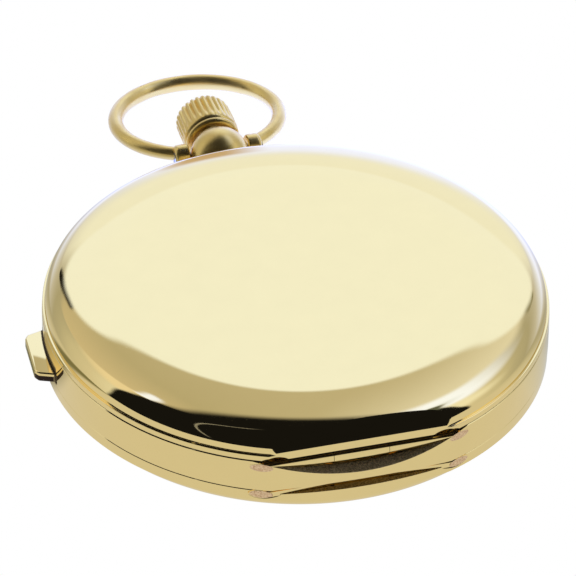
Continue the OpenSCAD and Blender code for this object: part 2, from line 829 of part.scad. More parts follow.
module dial() color(enamel) difference() {
  disc(dial_r, dial_z, dial_t, $fn = 240);
  for (p = [fourth_at, counter_at]) at2(p) {
    disc(subdial_d / 2, dial_z - 1, 1 + subdial_sink);
    disc(0.42, 0, case_t);
  }
  disc(1.15, 0, case_t);
}

// Slim hand with a round hub; its tip points to the pendant
module hand2d(len, tail, hub, w0, w1) {
  polygon([[-w0 / 2, 0], [-w0 / 2, -tail], [w0 / 2, -tail], [w0 / 2, 0], [w1 / 2, len], [-w1 / 2, len]]);
  circle(r = hub);
}

// Ring near the tip, as on a moon hand
module moon2d(at, r) {
  translate([0, at]) difference() {
    circle(r = r);
    circle(r = r * 0.55);
  }
}

module hour_hand() color(blued) difference() {
  slab(hour_hand_z, hand_t) {
    difference() {
      hand2d(hour_hand_l, 0, 1.35, 0.85, 0.25);
      translate([0, hour_moon]) circle(r = 0.9 * 0.55);
    }
    moon2d(hour_moon, 0.9);
  }
  disc(hour_pipe_r + e, 0, case_t);
}

module minute_hand() color(blued) difference() {
  slab(minute_hand_z, hand_t) {
    difference() {
      hand2d(minute_hand_l, 0, 1.1, 0.75, 0.2);
      translate([0, minute_moon]) circle(r = 0.75 * 0.55);
    }
    moon2d(minute_moon, 0.75);
  }
  disc(cannon_r + e, 0, case_t);
}

module chronograph_hand() color(blued) difference() {
  slab(sweep_hand_z, hand_t) hand2d(sweep_hand_l, 5.4, 0.7, 0.32, 0.14);
  disc(sweep_r, 0, case_t);
}

module small_hand(p, arbor) {
  difference() {
    at2(p) slab(small_hand_z, hand_t) hand2d(small_hand_l, 1.5, 0.55, 0.34, 0.16);
    at2(p) disc(arbor, 0, case_t);
  }
}

module seconds_hand() color(blued) small_hand(fourth_at, sweep_r);

module counter_hand() color(blued) small_hand(counter_at, sweep_r);

// Pipes that nest round the middle
sweep_r = 0.16;
centre_in = sweep_r + run_gap;
centre_r = 0.34;
cannon_r = 0.56;
hour_pipe_in = cannon_r + run_gap;
hour_pipe_r = 0.86;

module hour_wheel() color(gilt) difference() {
  union() {
    slab(dial_back + 0.08, 0.3) rotate(gap_turn(minute_at, centre_at, hour_n)) gear2d(hour_n, hour_m);
    disc(hour_pipe_r, hour_hand_z, dial_back + 0.1 - hour_hand_z);
  }
  disc(hour_pipe_in, 0, case_t);
}

module minute_wheel() color(gilt) difference() {
  at2(minute_at) {
    slab(dial_back + 0.5, 0.26) rotate(gap_turn(centre_at, minute_at, minute_n)) gear2d(minute_n, minute_m);
    slab(dial_back + 0.06, 0.46) rotate(heading(minute_at, centre_at)) gear2d(minute_pinion_n, hour_m);
  }
  at2(minute_at) disc(0.28 + run_gap, 0, case_t);
}

// Movement

// Hole or recess for one pivot, through a plate or bridge
module pivot_hole(p, r) {
  at2(p) disc(r, 0, case_t);
}

jewel_r = 0.55;
jewel_list = [third_at, fourth_at, escape_at];

module main_plate() color(nickel) {
  difference() {
    union() {
      disc(plate_r, plate_z, plate_t, $fn = 240);
      ring(flange_r, plate_r - 1, plate_z, flange_t);
    }
    // Window for the stem's pinion, and the stem's channel
    box([-2, pinion_y - 2.35 - crown_push, plate_z - 1], [2, pinion_y + 1.1, plate_top + 1]);
    rod_y(stem_r / 2 + run_gap, pinion_y - 2.55 - crown_push, band_r, 0, stem_z);
    rod_y(stem_r + run_gap, pinion_y, band_r, 0, stem_z);
    rod_y(pendant_bore_r + 0.1, plate_r - 1.4, band_r, 0, stem_z);
    box([-stem_r - 0.08, pinion_y, stem_z], [stem_r + 0.08, band_r, plate_top + 1]);
    box([-pendant_bore_r - 0.1, plate_r - 1.4, stem_z], [pendant_bore_r + 0.1, band_r, plate_top + 1]);
    // Room for the push-piece and the lever's lug
    rotate([0, 0, push_dir]) box([plate_r - 1.9, -2.4, plate_z - 1], [band_r, 3.4, plate_top + 1]);
    pivot_hole(centre_at, centre_r + run_gap);
    pivot_hole(counter_at, sweep_r + run_gap);
    for (p = [barrel_at, crown_wheel_at, pallet_at, balance_at]) pivot_hole(p, arbor_r / 2 + run_gap);
    for (p = jewel_list) pivot_hole(p, jewel_r);
  }
  // Posts for the minute wheel, the column wheel and the lever
  at2(minute_at) disc(0.28, dial_back + 0.06, plate_z - dial_back);
  at2(column_at) disc(0.35, plate_top - e, chrono_z + 0.3 - plate_top);
  at2(lever_at) disc(0.45, plate_top - e, chrono_z + 0.35 - plate_top);
  at2(lever_at) disc(0.9, plate_top - e, chrono_z - 0.05 - plate_top);
}

module barrel_bridge() color(nickel) difference() {
  union() {
    slab(bridge_z, bridge_t) barrel_bridge2d();
    slab(plate_top, bridge_z - plate_top + e) intersection() {
      barrel_bridge2d();
      difference() {
        circle(r = plate_r - 0.4);
        translate(barrel_at) circle(r = barrel_m * (barrel_n / 2 + 0.75) + 0.3);
        circle(r = 16.9 * mv);
        translate([-3, 0]) square([6, band_r]);
      }
    }
  }
  pivot_hole(barrel_at, arbor_r + run_gap);
  pivot_hole(crown_wheel_at, contrate_r + 0.4);
}

// Outline of the barrel bridge: the plate's right upper part, clear of the small dial's arbor
module barrel_bridge2d() difference() {
  intersection() {
    circle(r = plate_r - 0.4, $fn = 240);
    polygon([[-9 * mv, band_r], [-9, 9.5] * mv, [2.2, 9.2] * mv, [2.2, 2.6] * mv, [7.2, -1.6] * mv,
      [band_r, -1.6 * mv], [band_r, band_r]]);
  }
  translate(counter_at) circle(r = 1);
}

module train_bridge() color(nickel) difference() {
  union() {
    slab(bridge_z, bridge_t) {
      bar2d(train_foot_l, centre_at, 3.6);
      bar2d(centre_at, train_foot_r, 3);
      bar2d(train_foot_l, third_at, 3.2);
      bar2d(third_at, fourth_at, 2.6);
      bar2d(fourth_at, escape_at, 2.2);
      bar2d(train_foot_l, hammer_at, 2.8);
    }
    for (p = [train_foot_l, train_foot_r]) at2(p) disc(1.9, plate_top, bridge_top - plate_top);
    at2(hammer_at) disc(1.4, plate_top, bridge_top - plate_top);
    // Posts for the hammer and the brake
    at2(hammer_at) disc(0.4, bridge_top - e, cam_z + cam_t - bridge_top);
    at2(brake_at) disc(0.4, bridge_top - e, chrono_z + chrono_t - bridge_top);
  }
  pivot_hole(centre_at, centre_r + run_gap);
  for (p = jewel_list) pivot_hole(p, jewel_r);
}

module pallet_cock() color(nickel) {
  difference() {
    union() {
      slab(pallet_cock_z, pallet_cock_t) bar2d(pallet_at, pallet_foot, 1.7);
      at2(pallet_foot) disc(1.1, plate_top, pallet_cock_z + pallet_cock_t - plate_top);
    }
    pivot_hole(pallet_at, arbor_r / 2 + run_gap);
  }
}

pallet_cock_z = low_wheel_z + 0.2;
pallet_cock_t = 0.18;
cock_z = bridge_z + 0.48;
cock_t = 0.6;

module balance_cock() color(nickel) difference() {
  union() {
    slab(cock_z, cock_t) bar2d(balance_at, cock_foot, 3.4);
    at2(cock_foot) disc(1.9, plate_top, cock_z + cock_t - plate_top);
    // Stud that holds the outer end of the hairspring
    at2(balance_at + [hairspring_d / 2 + 0.35, 0]) disc(0.3, hair_z, cock_z - hair_z + e);
  }
  pivot_hole(balance_at, arbor_r / 2 + run_gap);
}

module chronograph_bridge() color(nickel) difference() {
  union() {
    slab(top_bridge_z, top_bridge_t) {
      bar2d(top_foot_a, counter_at, 1.6);
      bar2d(counter_at, centre_at, 1.5);
      bar2d(centre_at, top_foot_b, 1.6);
    }
    for (p = [top_foot_a, top_foot_b]) at2(p) disc(0.9, bridge_top, top_bridge_z + top_bridge_t - bridge_top);
  }
  for (p = [centre_at, counter_at]) pivot_hole(p, sweep_r + run_gap);
}

module mainspring_barrel() color(gilt) at2(barrel_at) difference() {
  union() {
    slab(barrel_z, 0.34) rotate(heading(barrel_at, centre_at)) gear2d(barrel_n, barrel_m);
    disc(barrel_m * (barrel_n / 2 - 1.1) - 0.1, barrel_z, 0.92);
  }
  disc(arbor_r + run_gap, 0, case_t);
}

module ratchet_wheel() color(steel) at2(barrel_at) {
  difference() {
    slab(wind_z, wind_t) rotate(gap_turn(crown_wheel_at, barrel_at, ratchet_n)) gear2d(ratchet_n, wind_m);
    disc(arbor_r - e, 0, case_t);
  }
  // Square-shouldered arbor that the barrel turns on
  disc(arbor_r, barrel_z - 0.12, wind_z + wind_t + 0.06 - barrel_z + 0.12);
  disc(arbor_r / 2, plate_top - 0.9, 1.5);
}

module crown_wheel() color(steel) at2(crown_wheel_at) {
  slab(wind_z, wind_t) rotate(heading(crown_wheel_at, barrel_at)) gear2d(crown_wheel_n, wind_m);
  disc(arbor_r, plate_top + 0.05, wind_z - plate_top);
  disc(arbor_r / 2, plate_top - 0.5, 1);
  // Ring that reaches down to the stem's pinion, with its face teeth
  difference() {
    ring(contrate_r + 0.3, contrate_r - 0.5, face_z, wind_z - face_z + e);
    for (i = [0 : contrate_n - 1]) rotate([0, 0, (i + 0.5) * 360 / contrate_n])
      box([0, -0.27, face_z - 1], [contrate_r + 1, 0.27, face_z + 0.42]);
  }
}

face_z = stem_z + 0.29 * (winding_pinion_n / 2 - 1.1) + 0.1;

module click() color(steel) difference() {
  slab(wind_z, wind_t) {
    bar2d(click_at, click_at + polar(2.4, 190), 0.9);
    translate(click_at) circle(r = 0.9);
  }
  pivot_hole(click_at, 0.3 + run_gap);
}

module centre_wheel() color(gilt) difference() {
  union() {
    slab(low_wheel_z, wheel_t) rotate(heading(centre_at, third_at)) wheel2d(centre_n, centre_m, 0.5, 1, 5, 0.5);
    slab(barrel_z - 0.1, 0.54) rotate(gap_turn(barrel_at, centre_at, centre_pinion_n))
      gear2d(centre_pinion_n, barrel_m);
    disc(centre_r, minute_hand_z, bridge_top - minute_hand_z);
    disc(0.7, low_wheel_z, barrel_z - low_wheel_z);
    // Cannon pinion
    disc(cannon_r, minute_hand_z, dial_back + 0.6 - minute_hand_z);
    slab(dial_back + 0.46, 0.34) rotate(heading(centre_at, minute_at)) gear2d(cannon_n, minute_m);
  }
  disc(centre_in, 0, case_t);
}

module third_wheel() color(gilt) at2(third_at) {
  slab(high_wheel_z, wheel_t) rotate(heading(third_at, fourth_at)) wheel2d(third_n, third_m, 0.45, 0.8, 5, 0.45);
  slab(low_wheel_z - 0.04, 0.36) rotate(gap_turn(centre_at, third_at, third_pinion_n))
    gear2d(third_pinion_n, centre_m);
  arbor(plate_top - 0.5, bridge_z + 0.5);
}

module fourth_wheel() color(gilt) at2(fourth_at) {
  slab(mid_wheel_z, wheel_t - 0.04) rotate(heading(fourth_at, escape_at))
    wheel2d(fourth_n, fourth_m, 0.45, 0.8, 5, 0.45);
  slab(high_wheel_z - 0.05, 0.38) rotate(gap_turn(third_at, fourth_at, fourth_pinion_n))
    gear2d(fourth_pinion_n, third_m);
  disc(arbor_r, plate_top + 0.06, bridge_z - plate_top - 0.12);
  disc(sweep_r, small_hand_z, chrono_z - small_hand_z);
  slab(chrono_z, chrono_t) rotate(heading(fourth_at, clutch_at)) gear2d(clutch_n, chrono_m);
}

// Escape wheel with pointed club teeth
module escape2d() {
  p = 360 / escape_n;
  difference() {
    polygon([for (i = [0 : escape_n - 1]) for (q = [[0, -0.45], [0.18, 0], [0.34, -0.05], [0.42, -0.5]])
      polar(escape_r + q[1], (i + q[0]) * p)]);
    circle(r = escape_r - 0.85);
  }
  for (i = [0 : 3]) rotate(i * 90) translate([0, -0.15]) square([escape_r - 0.7, 0.3]);
  circle(r = 0.5);
}

module escape_wheel() color(steel) at2(escape_at) {
  slab(low_wheel_z, 0.16) rotate(escape_turn) escape2d();
  slab(mid_wheel_z - 0.06, 0.34) rotate(gap_turn(fourth_at, escape_at, escape_pinion_n))
    gear2d(escape_pinion_n, fourth_m);
  arbor(plate_top - 0.5, bridge_z + 0.5);
}

escape_turn = -12 + 360 / escape_n * 0.24;

module pallet_fork() color(steel) at2(pallet_at) {
  back = heading(pallet_at, escape_at);
  slab(low_wheel_z, 0.16) {
    for (s = [-1, 1]) bar2d([0, 0], polar(2.15, back + s * 68), 0.36);
    bar2d([0, 0], polar(3.2, back + 180), 0.36);
    for (s = [-1, 1]) bar2d(polar(3.2, back + 180), polar(3.55, back + 180 + s * 7.5), 0.3);
    circle(r = 0.5);
  }
  disc(arbor_r, plate_top + 0.03, pallet_cock_z - plate_top - 0.06);
  disc(arbor_r / 2, plate_top - 0.5, pallet_cock_z + pallet_cock_t - plate_top + 0.5);
}

hair_z = bridge_z + 0.16;
rim_z = bridge_z - 0.55;

module balance_wheel() color(gilt) at2(balance_at) {
  r = balance_d / 2;
  ring(r, r - 0.5, rim_z, 0.42);
  slab(rim_z, 0.3) {
    rotate(78) translate([-r + 0.2, -0.3]) square([2 * r - 0.4, 0.6]);
    circle(r = 1);
  }
  for (i = [0 : balance_screws - 1]) rotate([0, 0, (i + 0.5) * 360 / balance_screws])
    translate([r - 0.1, 0, rim_z + 0.21]) rotate([0, 90, 0]) cylinder(r = 0.17, h = 0.28, $fn = 24);
  // Roller with its short impulse pin
  disc(0.95, low_wheel_z + 0.75, 0.14);
  at2([0, 0.7]) disc(0.12, low_wheel_z + 0.5, 0.3);
  disc(arbor_r, low_wheel_z + 0.2, hair_z + 0.3 - low_wheel_z - 0.2);
  disc(arbor_r / 2, plate_top - 0.5, cock_z + 0.45 - plate_top + 0.5);
}

// Flat spiral of half turns, each one step wider than the last
module hairspring() color(blued) {
  turns = 7;
  first = 0.75;
  step = (hairspring_d / 2 - first) / (2 * turns - 1);
  at2(balance_at) {
    for (i = [0 : 2 * turns - 1]) {
      r = first + i * step;
      translate([i % 2 == 0 ? 0 : -step, 0, 0]) sector(r + 0.035, r - 0.035,
        i % 2 == 0 ? 0 : 180, i % 2 == 0 ? 180 : 360, hair_z, 0.18);
    }
    ring(first + 0.04, arbor_r, hair_z, 0.18);
  }
}

module column_wheel() color(steel) at2(column_at) difference() {
  union() {
    slab(chrono_z, 0.16) polygon([for (i = [0 : 11]) for (q = [[0, 1.55], [0.15, 2.05]])
      polar(q[1], (i + q[0]) * 30)]);
    disc(0.8, chrono_z, 0.2);
    for (i = [0 : 5]) rotate([0, 0, i * 60]) sector(1.5, 0.75, -14, 14, chrono_z + 0.1, 0.42);
  }
  disc(0.35 + run_gap, 0, case_t);
}

module operating_lever() color(steel) difference() {
  union() {
    slab(chrono_z, 0.2) {
      bar2d(lever_at, lug_at + [0.7, -0.9], 1.3);
      bar2d(lug_at + [0.7, -0.9], column_at + [-3.9, -1.2] * mv, 0.8);
      translate(lever_at) circle(r = 1.1);
    }
    // Lug bent down to the push-piece
    at2(lug_at) rotate([0, 0, push_dir]) box([-0.55, -1, push_z - 0.5], [0.2, 1, chrono_z + 0.2]);
  }
  pivot_hole(lever_at, 0.45 + run_gap);
}

module clutch_lever() color(steel) difference() {
  union() {
    slab(cam_z, cam_t) {
      bar2d(fourth_at, clutch_at, 1.1);
      bar2d(clutch_at, [-11.6, -1.2] * mv, 0.9);
      bar2d([-11.6, -1.2] * mv, column_at + [0.6, -2.3] * mv, 0.7);
    }
    at2(clutch_at) disc(0.25, chrono_z - 0.05, cam_z - chrono_z + 0.1);
  }
  pivot_hole(fourth_at, sweep_r + run_gap);
}

module clutch_wheel() color(gilt) at2(clutch_at) difference() {
  slab(chrono_z, chrono_t) rotate(gap_turn(fourth_at, clutch_at, clutch_n)) gear2d(clutch_n, chrono_m);
  disc(0.25 + run_gap, 0, case_t);
}

module brake_lever() color(steel) difference() {
  slab(chrono_z, chrono_t) {
    bar2d(brake_at, brake_pad_at, 0.8);
    translate(brake_at) circle(r = 0.9);
  }
  pivot_hole(brake_at, 0.4 + run_gap);
}

// Heart cam, pointed away from the hammer's face
module heart2d(r) {
  for (s = [-1, 1]) translate([s * r * 0.32, 0]) circle(r = r * 0.62);
  polygon([[-r * 0.9, 0.1 * r], [r * 0.9, 0.1 * r], [0, -r * 1.25]]);
}

module hammer() color(steel) difference() {
  slab(cam_z, cam_t) {
    bar2d(hammer_at, [-4.4, 3] * mv, 1);
    bar2d([-4.4, 3] * mv, [-1.9, 1.2] * mv, 0.8);
    bar2d(hammer_at, [-1.9, 8.9] * mv, 0.9);
    translate(hammer_at) circle(r = 1.1);
  }
  pivot_hole(hammer_at, 0.4 + run_gap);
}

module chronograph_wheel() color(gilt) {
  slab(chrono_z, chrono_t) wheel2d(chrono_n, chrono_m, 0.4, 0.7, 4, 0.35);
  slab(cam_z - 0.02, cam_t) rotate(40) heart2d(0.95);
  disc(sweep_r, sweep_hand_z, top_bridge_z + top_bridge_t - sweep_hand_z);
  disc(0.32, chrono_z - 0.2, 0.2);
}

module counter_wheel() color(gilt) at2(counter_at) {
  slab(chrono_z, chrono_t) gear2d(counter_n, counter_m);
  slab(cam_z - 0.02, cam_t) rotate(80) heart2d(0.85);
  disc(sweep_r, small_hand_z, top_bridge_z + top_bridge_t - small_hand_z);
}

module column_jumper() color(blued) {
  foot = column_at + [-0.6, 6.4] * mv;
  slab(chrono_z, 0.16) {
    bar2d(foot, column_at + [0.2, 2.75] * mv, 0.3);
    translate(foot) circle(r = 0.85);
  }
  at2(foot) disc(0.85, plate_top, chrono_z - plate_top + e);
}

// Screw with a slotted head, standing on level z
module slotted_screw(p, r, z, h) {
  at2(p) difference() {
    disc(r, z, h);
    box([-r - 1, -0.09, z + h - 0.12], [r + 1, 0.09, z + h + 1]);
  }
}

module bridge_screws() color(blued) {
  for (p = [[12.6, 15], [18.6, 6.4], [-6, 17.6]] * mv) slotted_screw(p, 0.75, bridge_top, 0.25);
  slotted_screw(train_foot_l, 0.75, bridge_top, 0.25);
  slotted_screw(train_foot_r + [-0.8, 0.9] * mv, 0.6, bridge_top, 0.2);
  slotted_screw(cock_foot, 0.8, cock_z + cock_t, 0.25);
  slotted_screw(pallet_foot, 0.5, pallet_cock_z + pallet_cock_t, 0.2);
  slotted_screw(click_at, 0.3, bridge_top, wind_t + 0.2);
}

case_screw_dirs = [48, 238];

// Dog screws that hold the plate's flange down against the band's ledge
module case_screws() color(blued) for (a = case_screw_dirs)
  slotted_screw(polar(bore_r - 0.75, a), 0.7, plate_z + flange_t, 0.35);

module jewels() color(ruby) {
  for (p = jewel_list) at2(p) {
    ring(jewel_r, p == fourth_at ? sweep_r + run_gap : arbor_r / 2 + run_gap, bridge_z + 0.1, bridge_t - 0.1);
    ring(jewel_r, p == fourth_at ? sweep_r + run_gap : arbor_r / 2 + run_gap, plate_top - 0.6, 0.5);
  }
}

case_band();
back_cover();
front_cover();
cuvette();
bezel();
crystal();
back_hinge_pin();
front_hinge_pin();
cuvette_hinge_pin();
pendant();
bow();
bow_screws();
crown();
winding_stem();
push_sleeve();
push_piece();
push_piece_spring();
catch_spring();
lift_spring();
dial();
hour_hand();
minute_hand();
seconds_hand();
chronograph_hand();
counter_hand();
main_plate();
barrel_bridge();
train_bridge();
pallet_cock();
balance_cock();
chronograph_bridge();
mainspring_barrel();
ratchet_wheel();
crown_wheel();
click();
centre_wheel();
third_wheel();
fourth_wheel();
escape_wheel();
pallet_fork();
balance_wheel();
hairspring();
minute_wheel();
hour_wheel();
column_wheel();
operating_lever();
clutch_lever();
clutch_wheel();
brake_lever();
hammer();
chronograph_wheel();
counter_wheel();
column_jumper();
bridge_screws();
case_screws();
jewels();
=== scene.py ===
# Looks of the full hunter chronograph pocket watch, on its CAD frame. Metres.
import bpy, bmesh, json, math
from mathutils import Matrix, Vector


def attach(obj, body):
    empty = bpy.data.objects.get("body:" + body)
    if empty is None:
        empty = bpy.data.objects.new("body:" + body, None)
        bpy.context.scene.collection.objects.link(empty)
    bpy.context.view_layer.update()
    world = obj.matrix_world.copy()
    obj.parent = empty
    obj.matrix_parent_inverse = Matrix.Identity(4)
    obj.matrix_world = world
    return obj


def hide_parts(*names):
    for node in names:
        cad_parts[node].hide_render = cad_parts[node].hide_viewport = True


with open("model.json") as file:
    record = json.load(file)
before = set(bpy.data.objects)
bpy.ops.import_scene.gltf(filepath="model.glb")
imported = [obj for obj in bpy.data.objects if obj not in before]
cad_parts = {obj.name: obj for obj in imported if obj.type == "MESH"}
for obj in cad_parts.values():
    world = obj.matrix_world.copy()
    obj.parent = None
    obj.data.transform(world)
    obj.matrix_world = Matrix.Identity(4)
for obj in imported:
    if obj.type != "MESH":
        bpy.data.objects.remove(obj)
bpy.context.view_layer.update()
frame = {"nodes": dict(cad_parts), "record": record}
MM = 0.001
PER_MM = (1000, 1000, 1000)
GOLD = (0.98, 0.775, 0.345)

# Camera, fitted to the outline, seams and rims: radians, metres, and a focal length in pixels
VIEW_AZ, VIEW_EL, VIEW_ROLL = -0.2835462169, 0.6468128085, 0.0159662462
VIEW_DIST, VIEW_FOCAL, VIEW_WIDTH = 0.6255874394, 5957.3532110, 576
VIEW_TARGET = (0.0002661997, 0.0039124220, 0.007)
SENSOR = 36

# Sizes of the case, in millimetres; a cover's depths are counted from its flat face
BAND_R, RIM_R, FLAT_R, CASE_T = 26.5, 26.45, 18.0, 11.3
SEAM_B, INNER_R, WALL, RIM_ROUND = 7.7, 25.1, 0.5, 0.05
BACK = dict(side=26.2, turn=2.0, deep=2.8, rim=0.66, crease=0.04, foot=3.56)
FRONT = dict(side=25.6, turn=1.6, deep=2.47, rim=1.25, crease=0.12, foot=3.91)
BACK_ROOF, FRONT_ROOF = 4.6, 4.9
FAR = 40

# Hinges
TUBE_R, TUBE_Y, BACK_TUBE_Z, FRONT_TUBE_Z = 0.48, -24.29, 6.9, 3.5
TUBE_GAP, SLEEVE_END, BACK_FLAT, FRONT_FLAT = 0.09, 11.8, 0.42, 0.27
KNUCKLE, KNUCKLE_GAP = 2.95, 0.05
FLAT_LEAN, FLAT_TOP, PROUD = math.radians(12), 0.24, 0.006
STRIP_Y, STRIP_WALL, KNEE_Z, LEAN = -24.6, 0.55, 8.65, math.radians(26)
ARCH_X, ARCH_Z, ARCH_R, ARCH_Y = 9.1, 5.8, 2.4, -22.09
FRONT_CUT_Y, FRONT_CUT_R, FRONT_CUT_REACH = -24.54, 43.72, 25.7
NOTCH_X, NOTCH_Y = 11, -23.71

# Pendant, crown and bow
STEM_Z, NECK_R, STEM_BORE = 5.825, 1.825, 0.6
BALL_Y, BALL_R, PENDANT_BORE = 30.25, 3.2, 1.3
CROWN_END, CROWN_MOUTH, FLUTES, FLUTE_DEPTH, FLUTE_FROM = 38.15, 2.42, 28, 0.25, 34.2
BOW_R, WIRE_R, BOW_HALF_GAP, BOW_AWAY = 8.975, 0.875, 3.9, 8.8
BOW_PIVOT_Y, BOW_LEAN, EYE_X, EYE_LIFT, EYE_BORE = 31.0, -9.5, 3.26, 0.3, 0.66
BOW_STEPS = 180

# Push-piece
PUSH_DIR, PUSH_Z, PUSH_H = 176.5, 4.92, 1.1
PUSH_TIP, PUSH_ROOT, PUSH_BEVEL = 28.25, 25.4, 0.16
PUSH_ROD_R, PUSH_ROD_END = 0.42, 22.75

# Dial
DIAL_Z, SUBDIAL_Z, SUBDIAL_Y = 3.3, 3.42, 8
TRACK_IN, TRACK_OUT, NUMERAL_WIDTH, NUMERAL_HALF = 20.0, 20.75, 0.8, 0.015
DIAL_PRINT, SUBDIAL_PRINT, PRINT_SINK = 0.02, 0.03, 0.01


def make_camera():
    az, el, roll = VIEW_AZ, VIEW_EL, VIEW_ROLL
    back = Vector((math.sin(az) * math.cos(el), -math.cos(az) * math.cos(el), math.sin(el)))
    level = (-back).cross(Vector((0, 0, 1))).normalized()
    rise = level.cross(-back)
    right = level * math.cos(roll) + rise * math.sin(roll)
    up = -level * math.sin(roll) + rise * math.cos(roll)
    data = bpy.data.cameras.new("camera")
    data.sensor_width = SENSOR
    data.lens = VIEW_FOCAL / VIEW_WIDTH * SENSOR
    data.clip_start, data.clip_end = 0.05, 20
    cam = bpy.data.objects.new("camera", data)
    bpy.context.scene.collection.objects.link(cam)
    m = Matrix((right, up, back)).transposed().to_4x4()
    m.translation = Vector(VIEW_TARGET) + back * VIEW_DIST
    cam.matrix_world = m
    bpy.context.scene.camera = cam


# Small helper for node graphs
class Graph:
    def __init__(self, tree):
        self.tree = tree
        tree.nodes.clear()

    def add(self, kind, ins=None, **props):
        node = self.tree.nodes.new(kind)
        for key, value in props.items():
            setattr(node, key, value)
        for key, value in (ins or {}).items():
            self.put(node.inputs[key], value)
        return node

    def put(self, socket, value):
        if isinstance(value, bpy.types.NodeSocket):
            self.tree.links.new(value, socket)
        else:
            socket.default_value = value

    def math(self, operation, a, b=0.0):
        return self.add("ShaderNodeMath", operation=operation, ins={0: a, 1: b}).outputs[0]

    def chain(self, operation, first, *rest):
        for part in rest:
            first = self.math(operation, first, part)
        return first

    def product(self, *parts):
        return self.chain("MULTIPLY", *parts)

    def total(self, *parts):
        return self.chain("ADD", *parts)

    def largest(self, *parts):
        return self.chain("MAXIMUM", *parts)

    def squares(self, a, b):
        return self.total(self.product(a, a), self.product(b, b))

    def vmath(self, operation, a, b=(0, 0, 0), out=0):
        return self.add("ShaderNodeVectorMath", operation=operation, ins={0: a, 1: b}).outputs[out]

    def axes(self, vec):
        return self.add("ShaderNodeSeparateXYZ", ins={0: vec}).outputs

    def step(self, v, a, b, lo=0.0, hi=1.0, kind="SMOOTHSTEP"):
        ins = dict(enumerate((v, a, b, lo, hi)))
        return self.add("ShaderNodeMapRange", interpolation_type=kind, ins=ins).outputs[0]

    # Between lo and hi, with soft edges
    def within(self, v, lo, hi, soft=0.03):
        return self.product(self.step(v, lo - soft, lo + soft), self.step(v, hi + soft, hi - soft))

    def mix(self, factor, a, b):
        return self.add("ShaderNodeMix", data_type="RGBA", ins={0: factor, 6: a, 7: b}).outputs[2]

    def ramp(self, factor, stops):
        node = self.add("ShaderNodeValToRGB", ins={0: factor})
        elements = node.color_ramp.elements
        while len(elements) < len(stops):
            elements.new(0.5)
        for element, (position, colour) in zip(elements, stops):
            element.position = position
            element.color = (*colour, 1) if len(colour) == 3 else colour
        return node.outputs[0]

    def noise(self, vec, scale, detail, rough=0.5, stretch=None):
        if stretch:
            vec = self.vmath("MULTIPLY", vec, stretch)
        ins = {"Vector": vec, "Scale": scale, "Detail": detail, "Roughness": rough}
        return self.add("ShaderNodeTexNoise", ins=ins).outputs[0]


def linear(level):
    v = level / 255
    return v / 12.92 if v < 0.04045 else ((v + 0.055) / 1.055) ** 2.4


# Light level that shows as the given colour in the polished gold; not neutral, as it divides by the gold
def card(colour):
    return tuple(linear(v) / g for v, g in zip(colour, GOLD)) + (1,)


